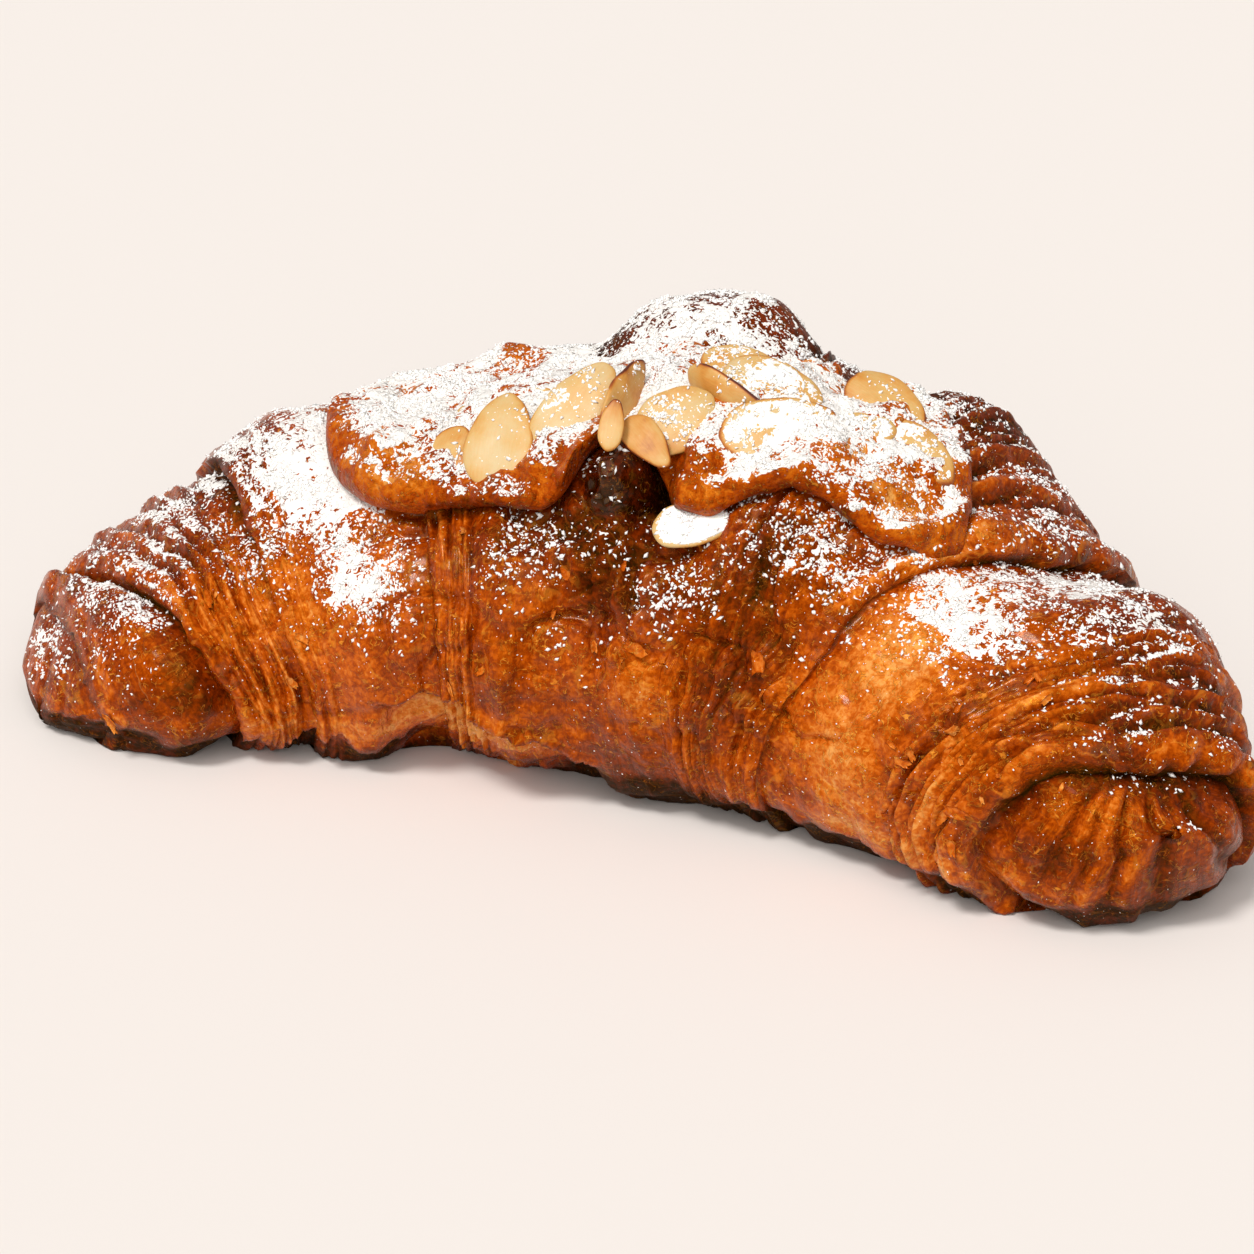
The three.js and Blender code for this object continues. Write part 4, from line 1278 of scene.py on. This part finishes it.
def hull_faces(points, longest):
    """The outward faces between neighbouring corners of a regular form."""
    faces = []
    count = len(points)
    for i in range(count):
        for j in range(i + 1, count):
            for k in range(j + 1, count):
                sides = [np.linalg.norm(points[p] - points[q]) for p, q in ((i, j), (j, k), (i, k))]
                if max(sides) < longest:
                    out = np.dot(np.cross(points[j] - points[i], points[k] - points[i]), points[i])
                    faces.append((i, j, k) if out > 0 else (i, k, j))
    return np.array(faces)


def lump_form():
    """A round form of twenty triangles."""
    golden = (1 + math.sqrt(5)) / 2
    points = []
    for a in (-1, 1):
        for b in (-golden, golden):
            points += [(0, a, b), (a, b, 0), (b, 0, a)]
    points = np.array(points) / math.hypot(1, golden)
    return points, hull_faces(points, 1.2)


def fleck_form():
    """A form of eight triangles with six corners."""
    points = np.vstack([np.eye(3), -np.eye(3)])
    return points, hull_faces(points, 1.5)


def uneven_sizes(draw, count, least, more):
    """Half sizes in three directions for each grain: most are small and a few are large."""
    size = least + more * draw.random(count) ** 2
    return size[:, None] * draw.uniform(0.7, 1.3, (count, 3))


def scatter(form, places, normals, sizes, draw):
    """Many uneven copies of a form lying on a surface, as one set of points and faces."""
    corners, faces = form
    count = len(places)
    lean = draw.normal(0, GRAIN_TILT, (count, 3))
    up = normals + lean
    up = up / np.linalg.norm(up, axis=1, keepdims=True)
    first = np.cross(up, draw.normal(0, 1, (count, 3)))
    first = first / np.linalg.norm(first, axis=1, keepdims=True)
    frames = np.stack([first, np.cross(up, first), up], 1)
    local = corners[None] * draw.uniform(0.7, 1.3, (count, len(corners), 1)) * sizes[:, None]
    local = local + draw.normal(0, 0.16, local.shape) * sizes[:, 1, None, None]
    points = places[:, None] + np.einsum("nki,nij->nkj", local, frames)
    every = faces[None] + len(corners) * np.arange(count)[:, None, None]
    return points.reshape(-1, 3), every.reshape(-1, 3)


def chip_arrays(places, normals, draw):
    """Thin torn chips of crust, curled and lifted at one end, as one set of points and faces."""
    count = len(places)
    u, v = np.meshgrid(np.linspace(-1, 1, CHIP_LONG), np.linspace(-1, 1, CHIP_WIDE), indexing="ij")
    u, v = u.ravel(), v.ravel()
    size = draw.uniform(0.7, 1, (count, 2)) * (0.7 + 1.7 * draw.random((count, 1)) ** 1.8)
    size = size * [0.85, 0.42]
    ragged = 1 + 0.22 * noise(u * 2.2, v * 2.2, np.arange(count)[:, None] * 1.7, 2)
    x = u * size[:, :1] * ragged
    y = v * size[:, 1:] * ragged * np.sqrt(1 - 0.55 * u * u)
    lift = draw.uniform(0.05, 0.5, (count, 1))
    curl = draw.uniform(-0.1, 0.5, (count, 1))
    z = lift * size[:, :1] * ((u + 1) / 2) ** 2 + curl * size[:, 1:] * v * v
    up = normals / np.linalg.norm(normals, axis=1, keepdims=True)
    first = np.cross(up, draw.normal(0, 1, (count, 3)))
    first = first / np.linalg.norm(first, axis=1, keepdims=True)
    second = np.cross(up, first)
    layers = []
    for rise in (0.05, 0.05 + CHIP_THICKNESS):
        local = x[..., None] * first[:, None] + y[..., None] * second[:, None]
        local = local + (z + rise)[..., None] * up[:, None]
        layers.append(places[:, None] + local)
    points = np.concatenate(layers, 1)
    top = grid_faces(CHIP_LONG, CHIP_WIDE, closed_rows=False)
    rim = list(range(CHIP_WIDE))
    rim += [CHIP_WIDE * i - 1 for i in range(2, CHIP_LONG + 1)]
    rim += range(CHIP_CORNERS - 2, CHIP_CORNERS - CHIP_WIDE - 1, -1)
    rim += range(CHIP_CORNERS - 2 * CHIP_WIDE, 0, -CHIP_WIDE)
    rim = np.array(rim)
    after = np.roll(rim, -1)
    sides = np.stack([rim, after, after + CHIP_CORNERS, rim + CHIP_CORNERS], 1)
    faces = np.vstack([top[:, ::-1], top + CHIP_CORNERS, sides])
    every = faces[None] + 2 * CHIP_CORNERS * np.arange(count)[:, None, None]
    return points.reshape(-1, 3), every.reshape(-1, 4)


# What a user can change.


class CroissantSettings(bpy.types.PropertyGroup):
    """Sizes and finishes of the croissant."""

    browning: FloatProperty(
        name="Browning",
        description="Added to the crust's bake, darker above 0",
        default=0.0,
        min=-0.5,
        max=0.5,
    )
    crust_light: FloatProperty(
        name="Light on the crust",
        description="Light that the colours are matched to",
        default=1.3,
        min=0.3,
        max=2,
    )
    sugar_amount: FloatProperty(
        name="Sugar",
        description="How much powdered sugar lies on it",
        default=1.0,
        min=0,
        max=2,
        subtype="FACTOR",
    )
    sugar_lumps: IntProperty(
        name="Sugar lumps", description="Number of loose lumps of sugar", default=6000, min=0, max=9900
    )
    sugar_flecks: IntProperty(
        name="Sugar flecks", description="Number of small flecks of sugar", default=24000, min=0, max=24900
    )
    chips: IntProperty(
        name="Chips", description="Number of thin chips of crust", default=44, min=0, max=1200
    )
    specks: IntProperty(
        name="Specks", description="Number of pale specks on the front", default=1600, min=0, max=5000
    )
    seed: IntProperty(name="Seed", description="Draws the scattered grains", default=5, min=0)


class StageSettings(bpy.types.PropertyGroup):
    """The floor and its light."""

    floor_colour: FloatVectorProperty(
        name="Floor",
        description="Colour of the floor",
        subtype="COLOR",
        size=3,
        default=(0.801, 0.74, 0.695),
        min=0,
        max=1,
    )
    key_light: FloatProperty(name="Key light", description="Strength of the soft sun", default=1.88, min=0)
    fill_light: FloatProperty(
        name="Fill light", description="Strength of the light from the front", default=1.52, min=0
    )
    sky_light: FloatProperty(
        name="Sky light", description="Strength of the light from all round", default=0.34, min=0
    )
    camera_distance: FloatProperty(
        name="Camera distance", description="From what it looks at", default=0.49, min=0.1, unit="LENGTH"
    )


class CROISSANT_OT_crust(bpy.types.Operator):
    """Builds the laminated crust in place of the plain pastry solid"""

    bl_idname = "croissant.crust"
    bl_label = "Crust"

    def execute(self, context):
        settings = context.scene.croissant
        points, faces, ends, facts = crust_arrays()
        normals = vertex_normals(points, faces)
        toast, sugar = crust_paint(points, normals, facts)
        attributes = {
            "toast": toast + settings.browning,
            "sugar": sugar * settings.sugar_amount,
            "layer": facts["layer"],
            "arc": facts["arc"],
            "band": facts["streak"],
            "glaze": facts["nose"],
        }
        wanted = {key: facts[key] for key in ("turn", "along", "band")}
        keep_surface("crust", points, faces, normals, sugar, **wanted)
        faces_all = faces.tolist() + ends
        make_piece("crust", points, faces_all, crust_material(settings), attributes, ["croissant"])
        return {"FINISHED"}


class CROISSANT_OT_cream(bpy.types.Operator):
    """Builds the baked sheet of almond cream"""

    bl_idname = "croissant.cream"
    bl_label = "Almond cream"

    def execute(self, context):
        settings = context.scene.croissant
        points, faces, facts = cream_arrays()
        faces = facing_out(points, faces)
        normals = vertex_normals(points, faces)
        along, turn = facts["along"], facts["turn"]
        edge_near = smooth(0.75, 1.0, facts["share"]) * smooth(1.02, 0.3, facts["rise"])
        toast = 0.36 + 0.17 * edge_near + 0.1 * smooth(0.9, 0.1, normals[:, 2])
        toast = toast + 0.08 * smooth(8, -14, along)
        toast = toast + 0.1 * noise(along / 9, facts["arc"] / 9, 4.1, 2)
        sugar = 1.0 * smooth(0.3, 0.85, normals[:, 2]) + 0.16 * noise(along / 7, facts["arc"] / 7, 2.4, 2)
        sugar = sugar - 0.3 * smooth(60, 46, turn) - 0.4 * smooth(-42, -48, along)
        sugar = np.clip(sugar, 0, 1.2)
        keep_surface("cream", points, faces, normals, sugar)
        attributes = {"toast": toast, "sugar": sugar * settings.sugar_amount}
        make_piece("cream", points, faces, cream_material(settings), attributes, ["almond_cream"])
        return {"FINISHED"}


class CROISSANT_OT_almonds(bpy.types.Operator):
    """Builds the flaked almonds that lie in and on the cream"""

    bl_idname = "croissant.almonds"
    bl_label = "Almond flakes"

    def execute(self, context):
        settings = context.scene.croissant
        material = almond_material(settings)
        for number, name in enumerate(FLAKES):
            points, faces, facts = flake_arrays(name, number + 3)
            faces = facing_out(points, faces)
            normals = vertex_normals(points, faces)
            dusted, baked, skin = FLAKE_LOOKS[name]
            x, y, share = facts["arc"], facts["grain"], facts["share"]
            rim = smooth(0.88, 1.0, share) * smooth(-0.5, 0.4, noise(x / 5, y / 5, number + 3.3))
            toast = baked + (0.2 + 0.5 * skin) * rim + 0.1 * noise(x / 3, y / 3, number, 2)
            upward = smooth(0.1, 0.8, normals[:, 2])
            sugar = dusted * upward + 0.25 * noise(x / 4, y / 4, number + 9.5, 2)
            sugar = sugar * (1 - 0.8 * smooth(0.86, 0.96, share))
            sugar = np.clip(sugar, 0, 1.4)
            keep_surface("flake", points, faces, normals, sugar)
            attributes = {
                "toast": toast,
                "sugar": sugar * settings.sugar_amount,
                "grain": y,
                "arc": x,
            }
            make_piece(name + "_fine", points, faces, material, attributes, [name])
        return {"FINISHED"}


class CROISSANT_OT_sugar(bpy.types.Operator):
    """Scatters loose lumps of sugar, and pale specks over the front"""

    bl_idname = "croissant.sugar"
    bl_label = "Loose sugar and specks"

    def execute(self, context):
        settings = context.scene.croissant
        if not SURFACES:
            raise RuntimeError("build the crust, cream and almonds first")
        draw = np.random.default_rng(settings.seed)
        powder = powder_material()
        lumps, flecks = lump_form(), fleck_form()
        places, normals = draw_places(draw, settings.sugar_lumps, self.thick, clumped=True)
        sizes = uneven_sizes(draw, len(places), 0.1, 0.24)
        points, faces = scatter(lumps, places, normals, sizes, draw)
        make_piece("loose_sugar", points, faces, powder)
        places, normals = draw_places(draw, settings.sugar_flecks, self.thin, clumped=True)
        size = draw.random(len(places)) ** 1.6
        sizes = np.stack([0.2 + 0.42 * size, 0.13 + 0.2 * size, 0.09 + 0.09 * size], 1)
        points, faces = scatter(flecks, places + 0.05 * normals, normals, sizes, draw)
        make_piece("sugar_flecks", points, faces, powder)
        places, normals = draw_places(draw, settings.specks, self.front)
        sizes = uneven_sizes(draw, len(places), 0.06, 0.1)
        points, faces = scatter(flecks, places, normals, sizes, draw)
        make_piece("pale_specks", points, faces, powder)
        return {"FINISHED"}

    @staticmethod
    def thick(surface):
        """How likely a lump lies at each point."""
        return surface["sugar"] ** 2

    @staticmethod
    def thin(surface):
        """How likely a fleck lies at each point."""
        return surface["sugar"] ** 1.5

    @staticmethod
    def front(surface):
        """How likely a speck lies at each point: only on the front of the crust."""
        if surface["kind"] != "crust":
            return np.zeros(len(surface["points"]))
        turn = surface["turn"]
        return smooth(-30, -5, turn) * (1 - smooth(120, 170, turn))


class CROISSANT_OT_chips(bpy.types.Operator):
    """Scatters thin torn chips of crust over the ridges and the wrinkled middle"""

    bl_idname = "croissant.chips"
    bl_label = "Crust chips"

    def execute(self, context):
        settings = context.scene.croissant
        if not SURFACES:
            raise RuntimeError("build the crust first")
        draw = np.random.default_rng(settings.seed + 1)
        places, normals = draw_places(draw, settings.chips, self.torn)
        points, faces = chip_arrays(places, normals, draw)
        toast = np.repeat(draw.uniform(0.12, 0.42, len(places)), 2 * CHIP_CORNERS)
        attributes = {"toast": toast, "layer": points[:, 0], "arc": points[:, 2]}
        for key in ("sugar", "band", "glaze"):
            attributes[key] = np.zeros(len(toast))
        make_piece("crust_chips", points, faces, crust_material(settings), attributes)
        return {"FINISHED"}

    @staticmethod
    def torn(surface):
        """How likely a chip lies at each point: the ridged bands, the middle and the right end's stairs."""
        if surface["kind"] != "crust":
            return np.zeros(len(surface["points"]))
        along, turn = surface["along"], surface["turn"]
        front = smooth(-25, -8, turn) * (1 - smooth(70, 95, turn))
        front = front * (1 - smooth(0.15, 0.4, surface["sugar"]))
        middle = bell((along - 16) / 15) * bell((turn - 16) / 11)
        stairs = bell((along - 82) / 9) * smooth(-10, 10, turn)
        return front * (0.9 * surface["band"] + middle + 0.9 * stairs)


class CROISSANT_OT_stage(bpy.types.Operator):
    """Sets the floor, the soft light and the camera"""

    bl_idname = "croissant.stage"
    bl_label = "Stage and camera"

    def execute(self, context):
        settings = context.scene.croissant_stage
        scene = context.scene
        scene.view_settings.view_transform = "Standard"
        self.floor(settings)
        self.lights(settings)
        self.camera(settings)
        return {"FINISHED"}

    def floor(self, settings):
        material, graph, shader = new_material("Pale floor")
        soft = graph.noise(graph.place(), 3.0, 2.0, 0.5)
        colour = tuple(settings.floor_colour)
        paler = tuple(min(1, c * 1.01) for c in colour)
        graph.feed(shader.inputs["Base Color"], graph.mix(soft, (*colour, 1), (*paler, 1)))
        shader.inputs["Roughness"].default_value = 0.9
        shader.inputs["Specular IOR Level"].default_value = 0.1
        mesh = bpy.data.meshes.new("floor")
        corners = [(x * FLOOR_REACH, y * FLOOR_REACH, 0) for x, y in ((-1, -1), (1, -1), (1, 1), (-1, 1))]
        mesh.from_pydata(corners, [], [(0, 1, 2, 3)])
        mesh.materials.append(material)
        made = bpy.data.objects.new("floor", mesh)
        made.location.z = -FLOOR_DROP
        bpy.context.scene.collection.objects.link(made)

    def lights(self, settings):
        world = bpy.data.worlds.new("Soft room")
        world.use_nodes = True
        back = world.node_tree.nodes["Background"]
        back.inputs["Color"].default_value = SKY_COLOUR
        back.inputs["Strength"].default_value = settings.sky_light
        bpy.context.scene.world = world
        for name, key, spread, azimuth, elevation in SUNS:
            lamp = bpy.data.lights.new(name, "SUN")
            lamp.energy = getattr(settings, key)
            lamp.color = SUN_COLOUR
            lamp.angle = spread * DEG
            self.aimed(bpy.data.objects.new(name, lamp), (0, 0, 0), 1, azimuth, elevation)

    def camera(self, settings):
        data = bpy.data.cameras.new("Camera")
        data.lens = CAMERA_LENS
        data.sensor_width = CAMERA_SENSOR
        made = bpy.data.objects.new("Camera", data)
        self.aimed(made, CAMERA_AIM, settings.camera_distance, CAMERA_AZIMUTH, CAMERA_ELEVATION)
        bpy.context.scene.camera = made

    @staticmethod
    def aimed(made, aim, distance, azimuth, elevation):
        """Sets a lamp or camera at that distance from what it looks at."""
        a, e = azimuth * DEG, elevation * DEG
        back = Vector((math.sin(a) * math.cos(e), -math.cos(a) * math.cos(e), math.sin(e)))
        made.location = Vector(aim) + back * distance
        made.rotation_mode = "QUATERNION"
        made.rotation_quaternion = back.to_track_quat("Z", "Y")
        bpy.context.scene.collection.objects.link(made)


class CROISSANT_PT_panel(bpy.types.Panel):
    """Lists the croissant's pieces and settings"""

    bl_idname = "CROISSANT_PT_panel"
    bl_label = "Almond croissant"
    bl_space_type = "VIEW_3D"
    bl_region_type = "UI"
    bl_category = "Croissant"

    def draw(self, context):
        layout = self.layout
        for settings in (context.scene.croissant, context.scene.croissant_stage):
            for key in settings.__annotations__:
                layout.prop(settings, key)
        for operator in PIECES:
            layout.operator(operator.bl_idname)


PIECES = (
    CROISSANT_OT_crust,
    CROISSANT_OT_cream,
    CROISSANT_OT_almonds,
    CROISSANT_OT_chips,
    CROISSANT_OT_sugar,
    CROISSANT_OT_stage,
)
CLASSES = (CroissantSettings, StageSettings, *PIECES, CROISSANT_PT_panel)


def register():
    for each in CLASSES:
        bpy.utils.register_class(each)
    bpy.types.Scene.croissant = PointerProperty(type=CroissantSettings)
    bpy.types.Scene.croissant_stage = PointerProperty(type=StageSettings)


def unregister():
    del bpy.types.Scene.croissant
    del bpy.types.Scene.croissant_stage
    for each in reversed(CLASSES):
        bpy.utils.unregister_class(each)


def main():
    """Registers the add-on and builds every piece."""
    register()
    bpy.ops.croissant.stage()
    bpy.ops.croissant.crust()
    bpy.ops.croissant.cream()
    bpy.ops.croissant.almonds()
    bpy.ops.croissant.chips()
    bpy.ops.croissant.sugar()


if __name__ == "__main__":
    main()
